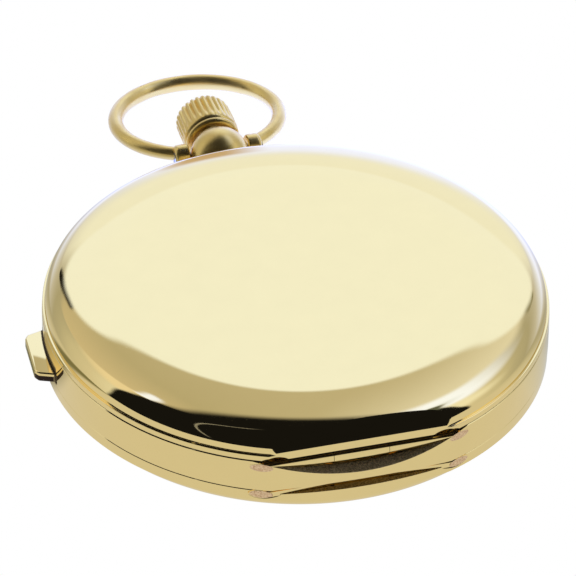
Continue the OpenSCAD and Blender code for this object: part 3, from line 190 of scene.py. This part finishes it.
# Light by direction, az from +Y towards +X and el above the table. Its zones and colours are fitted to what
# the polished gold shows from the photograph's side, so it is not an even light from other sides.
def softboxes(g, vec, floor=False):
    x, y, z = g.axes(vec)
    az = g.product(g.math("ARCTAN2", x, y), math.degrees(1))
    el = -10.0 if floor else g.product(g.math("ARCSINE", z), math.degrees(1))

    def past(v, lo, hi, radius):
        off = g.math("ABSOLUTE", g.math("SUBTRACT", v, (lo + hi) / 2))
        return g.largest(g.math("SUBTRACT", off, (hi - lo) / 2 - radius), 0.0)

    def zone(a0, a1, e0, e1, radius, soft):
        distance = g.math("SQRT", g.squares(past(az, a0, a1, radius), past(el, e0, e1, radius)))
        return g.step(distance, radius + soft, radius - soft)

    # Big panel in front of the watch: white in its middle, tan in a ring, brighter to its edges
    across = g.math("SUBTRACT", az, 24.0)
    upward = g.product(g.total(el, 8.0), 1.25)
    reach = 110
    ring = g.math("DIVIDE", g.math("SQRT", g.squares(across, upward)), reach)
    panel = g.ramp(ring, [(d / reach, card(colour)) for d, colour in (
        (16, (249, 248, 243)), (28, (240, 236, 224)), (40, (217, 209, 184)),
        (50, (195, 181, 141)), (60, (172, 157, 109)), (70, (182, 166, 115)),
        (80, (200, 182, 126)), (95, (212, 192, 134)), (110, (226, 208, 150)))])
    left = zone(-80, 40, -130, 57.5, 50, 1.6)
    right = zone(0, 118.5, -130, 60, 40, 1.2)
    light = g.mix(g.largest(left, right), card((212, 191, 133) if floor else (22, 19, 12)), panel)
    if floor:
        return g.mix(zone(-84, -68, -60, 60, 6, 5), light, card((122, 110, 60)))

    # Each row: weight, az and el limits, corner radius, softness, colour
    shoulder = g.ramp(g.step(az, -14, 42, kind="LINEAR"), [
        (0, card((206, 181, 121))), (0.25, card((184, 165, 110))),
        (0.6, card((192, 173, 119))), (1, card((226, 210, 160)))])
    for weight, edges, radius, soft, colour in (
            (left, (-60, -6, 46, 70), 5, 7, card((236, 208, 142))),
            (right, (33, 112, 46, 90), 12, 9, card((252, 249, 232))),
            (right, (96, 130, 20, 90), 12, 12, card((240, 224, 168))),
            (1.0, (-14, 42, 34, 60.5), 10, 1.5, shoulder),
            (1.0, (8.5, 13.5, -120, 13), 2, 1.6, card((200, 164, 106))),
            (1.0, (-4, 38, 15, 36), 16, 4, card((241, 231, 185))),
            (1.0, (-6.35, -4.6, 28, 37.5), 0.8, 0.4, card((30, 26, 14))),
            (1.0, (38.6, 40.4, 31, 36), 1, 0.6, card((128, 116, 68))),
            (1.0, (-5.2, 39.4, 27, 43.4), 7, 0.9, card((245, 237, 195))),
            (1.0, (-15.5, -7.5, 55.5, 58), 1.2, 0.8, card((250, 246, 230))),
            (0.3, (45, 115, 58, 66), 4, 4, card((160, 158, 110)))):
        light = g.mix(g.product(weight, zone(*edges, radius, soft)), light, colour)

    # Thin streak along a great circle
    off_streak = g.total(g.vmath("DOT_PRODUCT", vec, (-0.598, 0.732, -0.326), out=1), 0.062)
    streak = g.step(g.math("ABSOLUTE", off_streak), 0.010, 0.004)
    return g.mix(g.product(streak, zone(-128, 4, 10, 89, 5, 4)), light, card((150, 138, 104)))


# White to the camera's own rays only, and the fitted light to all others
def white_to_camera(g, shader, light):
    seen = g.add("ShaderNodeLightPath").outputs["Is Camera Ray"]
    glow = g.add(shader, ins={0: light})
    white = g.add(shader, ins={0: (1, 1, 1, 1)})
    return g.add("ShaderNodeMixShader", ins={0: seen, 1: glow.outputs[0], 2: white.outputs[0]}).outputs[0]


def new_material(name):
    m = bpy.data.materials.new(name)
    m.use_nodes = True
    return m, Graph(m.node_tree)


# World, and a floor that glows and so takes no shadow
def studio():
    world = bpy.data.worlds.new("studio")
    bpy.context.scene.world = world
    world.use_nodes = True
    g = Graph(world.node_tree)
    direction = g.add("ShaderNodeTexCoord").outputs["Generated"]
    glow = white_to_camera(g, "ShaderNodeBackground", softboxes(g, direction))
    g.add("ShaderNodeOutputWorld", ins={0: glow})

    half, drop = 0.9, -2e-5
    me = bpy.data.meshes.new("floor")
    corners = [(-half, -half, drop), (half, -half, drop), (half, half, drop), (-half, half, drop)]
    me.from_pydata(corners, [], [(0, 1, 2, 3)])
    ob = bpy.data.objects.new("floor", me)
    bpy.context.scene.collection.objects.link(ob)
    m, g = new_material("table")
    place_lit = g.add("ShaderNodeNewGeometry").outputs["Position"]
    glow = white_to_camera(g, "ShaderNodeEmission", softboxes(g, place_lit, floor=True))
    g.add("ShaderNodeOutputMaterial", ins={0: glow})
    me.materials.append(m)


# Fine scratches in two directions
def hairlines(g, p, depth):
    return g.total(g.product(g.noise(p, 3.0, 2, stretch=(1, 22, 4)), depth),
                   g.product(g.noise(p, 2.4, 2, stretch=(24, 1.4, 3)), depth))


def pits(g, p, near, far):
    cells = g.add("ShaderNodeTexVoronoi", ins={"Vector": p, "Scale": 1.1})
    return g.step(cells.outputs["Distance"], near, far)


def finish_surface(g, height, strength=1.0, **inputs):
    bump = g.add("ShaderNodeBump", ins={"Strength": strength, "Distance": 0.01 * MM, "Height": height})
    ins = {key.replace("_", " "): value for key, value in inputs.items()}
    ins["Normal"] = bump.outputs[0]
    surface = g.add("ShaderNodeBsdfPrincipled", ins=ins)
    g.add("ShaderNodeOutputMaterial", ins={0: surface.outputs[0]})


def object_mm(g):
    return g.vmath("MULTIPLY", g.add("ShaderNodeTexCoord").outputs["Object"], PER_MM)


def metal(name, colour, rough, vary=0.03, grain=None, grain_depth=0.0, scratch=0.02, ring=False,
          spots=0.0, pure=1.0, stripes=0.0, even=False):
    m, g = new_material(name)
    p = object_mm(g)
    cloud = g.noise(p, 0.35, 4)
    fine = g.noise(p, 9.0, 3)
    tint = g.ramp(cloud, [(0.3, tuple(c * (1 - vary) for c in colour)), (0.7, colour)])
    swing = 0.04 if even else 0.25
    shine = g.total(g.step(cloud, 0.35, 0.75, rough * (1 - swing), rough * (1 + swing)),
                    g.step(fine, 0.55, 0.8, 0.0, rough * 0.35))
    height = hairlines(g, p, scratch)
    if grain:
        height = g.total(height, g.product(g.noise(p, 4.0, 3, stretch=grain), grain_depth))
    if ring:
        radius = g.vmath("LENGTH", g.vmath("MULTIPLY", p, (1, 1, 0)), out=1)
        rings = g.noise(g.add("ShaderNodeCombineXYZ", ins={0: radius}).outputs[0], 14.0, 3)
        height = g.total(height, g.product(rings, grain_depth))
    if stripes:
        x, y, _ = g.axes(p)
        across = g.product(g.total(g.product(x, 0.82), g.product(y, 0.57)), 1.5)
        height = g.total(height, g.product(g.math("ABSOLUTE", g.math("SINE", across)), stripes))
    if spots:
        height = g.total(height, g.product(pits(g, p, 0.035, 0.06), spots))
    finish_surface(g, height, Base_Color=tint, Metallic=pure, Roughness=shine)
    return m


# Polished gold of the case, with grime on the ledges under its hinges, painted shade in the nooks behind the
# hinge tubes, beside the push-piece and on the push-piece's near end, and dull ends on its hinge tubes
def case_gold():
    m, g = new_material("case_gold")
    p = object_mm(g)
    x, y, z = g.axes(p)
    up = g.axes(g.add("ShaderNodeTexCoord").outputs["Normal"])[2]
    wide = g.math("ABSOLUTE", x)
    radius = g.vmath("LENGTH", g.vmath("MULTIPLY", p, (1, 1, 0)), out=1)
    cloud = g.noise(p, 0.35, 4)
    fine = g.noise(p, 9.0, 3)
    grit = g.noise(p, 5.5, 5, 0.7)
    fuzz = g.product(g.math("SUBTRACT", g.noise(p, 2.2, 4), 0.5), 0.5)

    # Ledges under the hinges
    ledge_z = g.largest(g.within(z, 5.9, 7.62), g.within(z, 3.3, 3.6))
    ledge = g.product(g.step(up, 0.72, 0.86), g.step(y, -24.6, -24.8), ledge_z, g.step(wide, 12.5, 12.0))

    # Painted shade in the nooks behind the hinge tubes
    nook_shade_z = g.largest(g.within(z, 7.36, 7.72), g.within(z, 4.02, 5.4))
    nook_shade = g.product(g.within(y, -24.52, -23.4), nook_shade_z, g.step(radius, 26.38, 26.3))

    # Painted shade on the band beside the push-piece, and on the lower faces of the push-piece's near end
    # that do not face up
    along = g.total(g.product(x, 0.061), y)
    beside = g.product(g.step(x, -24.0, -24.5), g.within(along, -4.0, 4.0, 0.12),
                       g.within(z, 4.1, 6.25, 0.3), g.step(radius, 26.7, 26.6), 0.93)
    end = g.product(g.step(radius, 26.6, 26.7), g.step(up, 0.5, 0.3), g.step(along, -2.4, -2.9),
                    g.step(x, -20.0, -21.0), g.step(z, 5.15, 5.05))
    # All the painted shade together: nooks, band beside the push-piece and the push-piece's near end
    painted_shade = g.largest(nook_shade, beside, end)

    # Ends of the hinge tubes, where they come through the band
    def tube_end(level):
        return g.step(g.squares(g.math("DIVIDE", g.math("SUBTRACT", wide, 10.45), 1.15),
                                g.math("DIVIDE", g.math("SUBTRACT", z, level), 0.47)), 1.0, 0.86)

    oval = g.product(g.largest(tube_end(BACK_TUBE_Z), tube_end(FRONT_TUBE_Z)), g.step(up, 0.6, 0.4),
                     g.step(y, -23.0, -23.2), g.step(radius, 26.40, 26.44))

    # Patchy grime on the ledges, joined with the painted shade; the near-black brown is the painted shade's
    # colour
    grime_and_shade = g.largest(g.product(ledge, g.step(g.total(grit, fuzz), 0.30, 0.42)), painted_shade)
    grime_and_shade_tint = g.mix(g.step(grit, 0.38, 0.64), (0.30, 0.20, 0.08, 1), (0.80, 0.62, 0.30, 1))
    grime_and_shade_tint = g.mix(painted_shade, grime_and_shade_tint, (0.035, 0.014, 0.006, 1))
    tint = g.ramp(cloud, [(0.3, tuple(c * 0.985 for c in GOLD)), (0.7, GOLD)])
    tint = g.mix(oval, tint, g.ramp(grit, [(0.35, (0.62, 0.38, 0.20)), (0.6, (0.95, 0.70, 0.42))]))
    tint = g.mix(grime_and_shade, tint, grime_and_shade_tint)
    shine = g.total(g.step(cloud, 0.35, 0.75, 0.022, 0.045), g.step(fine, 0.55, 0.8, 0.0, 0.012))
    shine = g.largest(shine, g.product(oval, 0.17), g.product(grime_and_shade, 0.62))
    coarse = g.product(grit, g.total(g.product(ledge, 14.0), g.product(oval, 3.0)))
    height = g.total(hairlines(g, p, 0.012), g.product(pits(g, p, 0.03, 0.055), 0.05), coarse)
    pure = g.step(grime_and_shade, 0.0, 1.0, 1.0, 0.55, kind="LINEAR")
    finish_surface(g, height, Base_Color=tint, Metallic=pure, Roughness=shine)
    return m


def stone(name, colour, rough, transmission=0.0):
    m, g = new_material(name)
    p = object_mm(g)
    cloud = g.noise(p, 1.6, 4)
    tint = g.ramp(cloud, [(0.3, tuple(c * 0.97 for c in colour)), (0.7, colour)])
    shine = g.step(cloud, 0.3, 0.7, rough * 0.7, rough * 1.3)
    finish_surface(g, g.noise(p, 5.0, 3), strength=0.4, Base_Color=tint, Roughness=shine,
                   Transmission_Weight=transmission, Coat_Weight=0.3, Coat_Roughness=0.03)
    return m


MATS = {
    "case_gold": case_gold(),
    "polished_gold": metal("polished_gold", GOLD, 0.035, vary=0.015, scratch=0.012, spots=0.02),
    "satin_gold": metal("satin_gold", (1.0, 0.72, 0.23), 0.36, vary=0.05, scratch=0.01, pure=0.9),
    "cuvette_gold": metal("cuvette_gold", (0.93, 0.74, 0.36), 0.06, scratch=0.03),
    "crystal": stone("crystal", (0.96, 0.98, 0.98), 0.02, transmission=1.0),
    "enamel": stone("enamel", (0.90, 0.89, 0.85), 0.08),
    "steel": metal("steel", (0.72, 0.73, 0.76), 0.18, grain=(30, 1, 1), grain_depth=0.08, even=True),
    "blued_steel": metal("blued_steel", (0.045, 0.085, 0.33), 0.10, vary=0.3),
    "nickel": metal("nickel", (0.86, 0.83, 0.77), 0.26, grain=(6, 6, 6), grain_depth=0.06,
                    stripes=5.0, even=True),
    "gilt_brass": metal("gilt_brass", (0.88, 0.68, 0.33), 0.14, ring=True, grain_depth=0.12),
    "print_black": stone("print_black", (0.012, 0.012, 0.014), 0.25),
    "ruby": stone("ruby", (0.62, 0.02, 0.11), 0.04, transmission=0.5),
}


# Mesh helpers; all take millimetres
def arc(x, y, r, a0, a1, n):
    angles = [math.radians(a0 + (a1 - a0) * i / n) for i in range(n + 1)]
    return [(x + r * math.cos(a), y + r * math.sin(a)) for a in angles]


def turns(n):
    return [2 * math.pi * i / n for i in range(n)]


def make(name, verts, faces, sharp=28):
    me = bpy.data.meshes.new(name)
    me.from_pydata([Vector(v) * MM for v in verts], [], faces)
    ob = bpy.data.objects.new(name, me)
    bpy.context.scene.collection.objects.link(ob)
    bm = bmesh.new()
    bm.from_mesh(me)
    bmesh.ops.remove_doubles(bm, verts=bm.verts, dist=1e-7)
    bmesh.ops.recalc_face_normals(bm, faces=bm.faces)
    bm.to_mesh(me)
    bm.free()
    smooth(ob, sharp)
    return ob


def smooth(ob, sharp=28):
    ob.data.shade_smooth()
    ob.data.set_sharp_from_angle(angle=math.radians(sharp))


def upright(x, y, z):
    return x, y, z


def along_y(x, y, z):
    return x, z, STEM_Z + y


# Closed (r, z) loop turned round an axis
def lathe(name, loop, segs=384, to=upright, sharp=28, wave=None):
    verts, rings = [], []
    for r, z in loop:
        if r < 1e-6:
            rings.append([len(verts)] * segs)
            verts.append(to(0, 0, z))
        else:
            rings.append(range(len(verts), len(verts) + segs))
            for a in turns(segs):
                q = wave(r, z, a) if wave else r
                verts.append(to(q * math.cos(a), q * math.sin(a), z))
    faces = []
    for a, b in zip(rings, rings[1:] + rings[:1]):
        for i in range(segs):
            j = (i + 1) % segs
            face = list(dict.fromkeys((a[i], a[j], b[j], b[i])))
            if len(face) > 2:
                faces.append(face)
    return make(name, verts, faces, sharp)


def disc(name, r, z0, z1, segs, to=upright):
    return lathe(name, [(0, z0), (r, z0), (r, z1), (0, z1)], segs, to)


# Two ends of n corners each and the walls between them
def prism_faces(n):
    ends = [tuple(range(n)), tuple(range(2 * n - 1, n - 1, -1))]
    return ends + [(i, (i + 1) % n, n + (i + 1) % n, n + i) for i in range(n)]


# Closed (y, z) outline drawn out along X
def bar_x(name, outline, x0, x1):
    verts = [(x, y, z) for x in (x0, x1) for y, z in outline]
    return make(name, verts, prism_faces(len(outline)))


def block(name, lo, hi):
    return bar_x(name, [(lo[1], lo[2]), (hi[1], lo[2]), (hi[1], hi[2]), (lo[1], hi[2])], lo[0], hi[0])


def apply(ob, kind, **props):
    modifier = ob.modifiers.new(kind, kind)
    for key, value in props.items():
        setattr(modifier, key, value)
    evaluated = ob.evaluated_get(bpy.context.evaluated_depsgraph_get())
    me = bpy.data.meshes.new_from_object(evaluated)
    ob.modifiers.clear()
    ob.data = me


def shape(ob, operation, *tools, sharp=28):
    for tool in tools:
        apply(ob, "BOOLEAN", operation=operation, object=tool, solver="MANIFOLD")
        bpy.data.objects.remove(tool)
    smooth(ob, sharp)
    return ob


def place(ob, body, slot, material, *nodes):
    ob.data.materials.clear()
    ob.data.materials.append(material)
    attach(ob, body)
    if nodes:
        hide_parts(*nodes)


# Dome of a cover as (r, depth below its flat face), w inside the outer face
def dome(c, w):
    side, turn, deep = c["side"], c["turn"], c["deep"]
    k = side - FLAT_R
    big = (k * k + deep * deep - 2 * k * turn) / (2 * (deep - turn))
    lift = math.degrees(math.asin((k - turn) / (big - turn)))
    pts = [(r, w) for r in (0, 4, 8, 11, 13.5, 15.5, 17)]
    pts += arc(FLAT_R, big, big - w, -90, lift - 90, 36)
    pts += arc(side - turn, deep, turn - w, lift - 90, 0, 30)[1:]
    return pts


def cover_loop(c):
    side, foot, crease = c["side"], c["foot"], c["crease"]
    top = foot - c["rim"]
    pts = dome(c, 0)
    pts += [(side, top - crease - 0.001)] + arc(side + crease, top - crease, crease, 180, 90, 5)
    pts += arc(RIM_R - RIM_ROUND, top + RIM_ROUND, RIM_ROUND, -90, 0, 6)
    pts += [(RIM_R, foot - 0.05), (RIM_R - 0.04, foot), (0, foot)]
    return pts


# From depths below the back cover's flat face to heights
def flip(loop):
    return [(r, CASE_T - d) for r, d in loop]


# Tool that fills all that lies outside the back cover's hinge strip at y, to cut it away
def strip_tool(y):
    low, top = 5, 12.5
    lean_y = y + (top - KNEE_Z) * math.tan(LEAN)
    return bar_x("strip", [(-FAR, low), (y, low), (y, KNEE_Z), (lean_y, top), (-FAR, top)], -FAR, FAR)


# Hinge tube with a filed flat that looks a little upwards and reaches low below the axis
def tube(name, x0, x1, z, low, grow=0.0):
    c, d, r = math.cos(FLAT_LEAN), math.sin(FLAT_LEAN), TUBE_R + PROUD
    flat = [(TUBE_Y - c * r + d * t, z + d * r + c * t) for t in (-low, FLAT_TOP)]
    return bar_x(name, flat + arc(TUBE_Y, z, TUBE_R + grow, 128, -122, 40), x0, x1)


def back_cover():
    ob = lathe("back_cover_shell", flip(cover_loop(BACK)), 720)
    lip = BACK["foot"] - BACK["rim"]
    hollow = flip(dome(BACK, WALL) + [(BACK["side"] - WALL, lip), (INNER_R, lip),
                                      (INNER_R, BACK_ROOF), (0, BACK_ROOF)])
    inside = shape(lathe("hollow", hollow, 192), "DIFFERENCE", strip_tool(STRIP_Y + STRIP_WALL))
    arches = [disc("arch", ARCH_R, -FAR, ARCH_Y, 96, lambda x, y, z, s=s: (x + s * ARCH_X, z, y + ARCH_Z))
              for s in (-1, 1)]
    shape(ob, "DIFFERENCE", strip_tool(STRIP_Y), inside, *arches)
    k = KNUCKLE - KNUCKLE_GAP
    root = block("root", (-k, TUBE_Y - 0.05, BACK_TUBE_Z), (k, STRIP_Y + STRIP_WALL, SEAM_B + 0.35))
    shape(ob, "UNION", tube("knuckle", -k, k, BACK_TUBE_Z, BACK_FLAT), root, sharp=20)
    place(ob, "back_cover", "polished_gold", MATS["case_gold"], "back_cover")


def front_cover():
    top = FRONT["foot"] - FRONT["rim"]
    ob = lathe("front_cover_shell", cover_loop(FRONT))
    hollow = lathe("hollow", dome(FRONT, WALL) + [(INNER_R, FRONT_ROOF), (0, FRONT_ROOF)], 384)
    trim = block("trim", (-FAR, -30, top - 0.12), (FAR, FRONT_CUT_Y, 5))
    flat = disc("flat", FRONT_CUT_R, 0, 6, 720, lambda x, y, z: (x, y + FRONT_CUT_R - FRONT_CUT_REACH, z))
    shape(trim, "DIFFERENCE", flat, disc("side", FRONT["side"], 0, 6, 384))
    room = block("room", (-NOTCH_X, -30, FRONT_TUBE_Z), (NOTCH_X, TUBE_Y, 6))
    behind = block("behind", (-NOTCH_X, TUBE_Y - 0.01, FRONT_TUBE_Z - 0.02), (NOTCH_X, NOTCH_Y, 6))
    groove = bar_x("round", arc(TUBE_Y, FRONT_TUBE_Z, TUBE_R + TUBE_GAP, 3, 357, 59), -13, 13)
    shape(ob, "DIFFERENCE", hollow, trim, room, behind, groove)
    k = KNUCKLE - KNUCKLE_GAP
    root = block("root", (-k, -25.4, 2.9), (k, TUBE_Y + 0.1, 3.45))
    shape(ob, "UNION", tube("knuckle", -k, k, FRONT_TUBE_Z, FRONT_FLAT), root, sharp=20)
    place(ob, "front_cover", "polished_gold", MATS["case_gold"], "front_cover")


# Filed sleeves over the band's knuckles, cut flush with the band
def hinge_sleeves():
    grow = 0.004
    hinges = (("back_hinge_sleeve", BACK_TUBE_Z, BACK_FLAT), ("front_hinge_sleeve", FRONT_TUBE_Z, FRONT_FLAT))
    for name, z, low in hinges:
        for s, side in ((1, "right"), (-1, "left")):
            x0, x1 = sorted((s * KNUCKLE, s * SLEEVE_END))
            ob = tube(name + "_" + side, x0, x1, z, low, grow)
            shape(ob, "INTERSECT", disc("flush", BAND_R + grow, 0, 12, 720), sharp=20)
            place(ob, "case", "polished_gold", MATS["case_gold"])


def crown():
    # Smooth skirt, then the fluted barrel and its rounded end
    outer = [(CROWN_MOUTH, 32.75), (2.62, 32.76), (2.86, 32.86), (2.97, 33.02), (2.99, 33.2),
             (2.93, 33.34), (2.82, 33.42), (2.86, 33.5), (2.98, 33.6), (3.05, 33.8),
             (3.09, 34.3), (3.10, 35.0), (3.09, 35.8), (3.06, 36.5)]
    outer += [(2.1 + x, y) for x, y in arc(0, CROWN_END - 1, 0.95, 0, 90, 10)]
    outer += [(1.4, CROWN_END - 0.02), (0.7, CROWN_END), (0, CROWN_END)]
    bore = [(0, 36.95), (STEM_BORE, 36.95), (STEM_BORE, 33.45), (CROWN_MOUTH, 33.45)]

    def flutes(r, y, a):
        start = min(1, max(0, (y - FLUTE_FROM) / 0.4))
        fade = min(1, max(0, (r - 1.9) / 0.9))
        return r - FLUTE_DEPTH * start * fade * (0.5 - 0.5 * math.cos(FLUTES * a)) ** 2

    ob = lathe("crown_shell", outer + bore, FLUTES * 14, along_y, 40, flutes)
    place(ob, "crown", "polished_gold", MATS["satin_gold"], "crown")


def pendant():
    neck_end, lip_end = 26.9, 32.3
    outer = [(PENDANT_BORE, 23.5), (NECK_R, 23.5), (NECK_R, neck_end)]
    outer += [(NECK_R + 0.5 - 0.5 * math.cos(t), neck_end + 0.1 + 0.42 * math.sin(t))
              for t in (0, math.pi / 14, math.pi / 7)]
    outer += [(r, y) for y, r in arc(BALL_Y, 0, BALL_R, 143, 58, 40) if r > 1.95]
    outer += [(2.58, 32.02), (2.52, 32.06), (2.52, 32.22), (2.46, lip_end), (PENDANT_BORE, lip_end)]
    ob = lathe("pendant_bulb", outer, 256, along_y, 35)
    place(ob, "case", "polished_gold", MATS["satin_gold"], "pendant")


# Tube of changing radius along a path
def sweep(name, path, radii, n):
    verts, faces = [], []
    for i, (centre, r) in enumerate(zip(path, radii)):
        before, after = path[max(i - 1, 0)], path[min(i + 1, len(path) - 1)]
        ahead = (Vector(after) - Vector(before)).normalized()
        u = ahead.cross(Vector((0, 0, 1))).normalized()
        w = u.cross(ahead)
        verts += [Vector(centre) + (u * math.cos(q) + w * math.sin(q)) * r for q in turns(n)]
        if i:
            a, b = (i - 1) * n, i * n
            faces += [(a + k, a + (k + 1) % n, b + (k + 1) % n, b + k) for k in range(n)]
    faces += [tuple(range(n)), tuple(range((len(path) - 1) * n, len(path) * n))]
    return make(name, verts, faces)


def bow():
    opening = math.asin(BOW_HALF_GAP / BOW_R)
    shares = [i / BOW_STEPS for i in range(BOW_STEPS + 1)]
    angles = [-math.pi / 2 + opening + (2 * math.pi - 2 * opening) * t for t in shares]
    path = [(BOW_R * math.cos(a), BOW_AWAY + BOW_R * math.sin(a), 0) for a in angles]
    radii = [WIRE_R * (0.93 + 0.07 * math.cos((t - 0.5) * 2 * math.pi / 1.05)) for t in shares]
    ring = sweep("bow_ring", path, radii, 40)
    eyes = []
    for s in (-1, 1):
        loop = [(0, 0), (1.12, 0), (1.25, 0.13)] + arc(0.75, 1.1, 0.5, 0, 90, 8) + [(0, 1.6)]
        eye = lathe("eye", loop, 96, lambda x, y, z, s=s: (s * (EYE_X + z), EYE_LIFT + x, y))
        hole = disc("hole", EYE_BORE, 1.3, 2.2, 64, lambda x, y, z, s=s: (s * (EYE_X + z), x, y))
        eyes.append(shape(eye, "DIFFERENCE", hole))
    shape(ring, "UNION", *eyes)
    lean = Matrix.Rotation(math.radians(BOW_LEAN), 4, "X")
    ring.data.transform(Matrix.Translation((0, BOW_PIVOT_Y * MM, STEM_Z * MM)) @ lean)
    place(ring, "bow", "polished_gold", MATS["satin_gold"], "bow")


def push_piece():
    half = [(PUSH_TIP, 2.7), (27.9, 3.3), (26.0, 3.95), (PUSH_ROOT, 3.95)]
    outline = [(x, -y) for x, y in reversed(half)] + half
    verts = [(x, y, PUSH_Z + s * PUSH_H / 2) for s in (-1, 1) for x, y in outline]
    ob = make("push_piece_shell", verts, prism_faces(len(outline)))
    apply(ob, "BEVEL", width=PUSH_BEVEL * MM, segments=4, limit_method="ANGLE",
          angle_limit=math.radians(20))
    rod = disc("rod", PUSH_ROD_R, PUSH_ROD_END, PUSH_ROOT + 0.2, 48, lambda x, y, z: (z, x, y + PUSH_Z))
    shape(ob, "UNION", rod, sharp=60)
    ob.data.transform(Matrix.Rotation(math.radians(PUSH_DIR), 4, "Z"))
    place(ob, "push_piece", "polished_gold", MATS["case_gold"], "push_piece")


# Place on the dial, at an angle that runs clockwise as seen from the dial side
def on_dial(cy, r, a):
    return -r * math.sin(a), cy + r * math.cos(a)


# Flat printed lines between two heights
class Marks:
    def __init__(self, low, high):
        self.levels = (low, high)
        self.verts, self.faces = [], []

    def tick(self, cy, r0, r1, width, a):
        base = len(self.verts)
        for z in self.levels:
            for r, s in ((r0, -1), (r1, -1), (r1, 1), (r0, 1)):
                x, y = on_dial(cy, r, a)
                self.verts.append((x - s * width / 2 * math.cos(a), y - s * width / 2 * math.sin(a), z))
        self.faces += [tuple(base + i for i in face) for face in prism_faces(4)]

    def track(self, cy, r0, r1, n=180):
        base = len(self.verts)
        low, high = self.levels
        for a in turns(n):
            self.verts += [(*on_dial(cy, r, a), z) for r, z in ((r0, low), (r1, low), (r1, high), (r0, high))]
        for k in range(n):
            i, j = base + 4 * k, base + 4 * ((k + 1) % n)
            self.faces += [(i + q, i + (q + 1) % 4, j + (q + 1) % 4, j + q) for q in range(4)]

    def put(self, name):
        place(make(name, self.verts, self.faces), "case", "enamel", MATS["print_black"])


# Rows of (cy, r, size, angle, text), printed with their lower side at low
def numerals(name, rows, low):
    verts, faces = [], []
    for cy, r, size, a, text in rows:
        curve = bpy.data.curves.new("numeral", "FONT")
        curve.body = text
        curve.align_x = curve.align_y = "CENTER"
        curve.size, curve.extrude, curve.resolution_u = size, NUMERAL_HALF, 6
        ob = bpy.data.objects.new("numeral", curve)
        bpy.context.scene.collection.objects.link(ob)
        bpy.context.view_layer.update()
        evaluated = ob.evaluated_get(bpy.context.evaluated_depsgraph_get())
        me = bpy.data.meshes.new_from_object(evaluated)
        x, y = on_dial(cy, r, a)
        faces += [tuple(i + len(verts) for i in face.vertices) for face in me.polygons]
        middle = low + NUMERAL_HALF
        verts += [(x - v.co.x * NUMERAL_WIDTH, y + v.co.y, middle + v.co.z) for v in me.vertices]
        bpy.data.objects.remove(ob)
        bpy.data.curves.remove(curve)
    place(make(name, verts, faces), "case", "enamel", MATS["print_black"])


def dial_print():
    dial_low, sub_low = DIAL_Z - DIAL_PRINT, SUBDIAL_Z - SUBDIAL_PRINT
    marks = Marks(dial_low, DIAL_Z + PRINT_SINK)
    for r in (TRACK_IN, TRACK_OUT):
        marks.track(0, r - 0.04, r + 0.04)
    for i, a in enumerate(turns(300)):
        if i % 5:
            marks.tick(0, 20.42, TRACK_OUT, 0.05, a)
        else:
            marks.tick(0, TRACK_IN, TRACK_OUT, 0.1 if i % 25 else 0.26, a)
    marks.put("dial_tracks")

    marks = Marks(sub_low, SUBDIAL_Z + PRINT_SINK)
    for cy, n in ((-SUBDIAL_Y, 60), (SUBDIAL_Y, 30)):
        marks.track(cy, 5.05, 5.11)
        for i, a in enumerate(turns(n)):
            inner, width = (4.75, 0.05) if i % 5 else (4.5, 0.1)
            marks.tick(cy, inner, 5.08, width, a)
    marks.put("subdial_tracks")

    hours = [(0, 17.6, 3.5, 2 * math.pi * h / 12, str(h)) for h in range(1, 13) if h % 6]
    hours += [(0, 17.3, 3.0, 0, "12"), (0, 17.3, 3.0, math.pi, "6")]
    numerals("dial_numerals", hours, dial_low)
    small = [(-SUBDIAL_Y, 3.75, 1.15, 2 * math.pi * v / 60, str(v)) for v in (15, 30, 45, 60)]
    small += [(SUBDIAL_Y, 3.75, 1.15, 2 * math.pi * v / 30, str(v)) for v in (10, 20, 30)]
    numerals("subdial_numerals", small, sub_low)


def dress():
    slots = {s["node"]: s["material_slot"] for s in frame["record"]["subparts"]}
    for name, ob in frame["nodes"].items():
        ob.data.materials.clear()
        ob.data.materials.append(MATS["case_gold" if name == "case_band" else slots[name]])


make_camera()
studio()
dress()
back_cover()
front_cover()
hinge_sleeves()
crown()
pendant()
bow()
push_piece()
dial_print()
bpy.context.scene.view_settings.view_transform = "Standard"
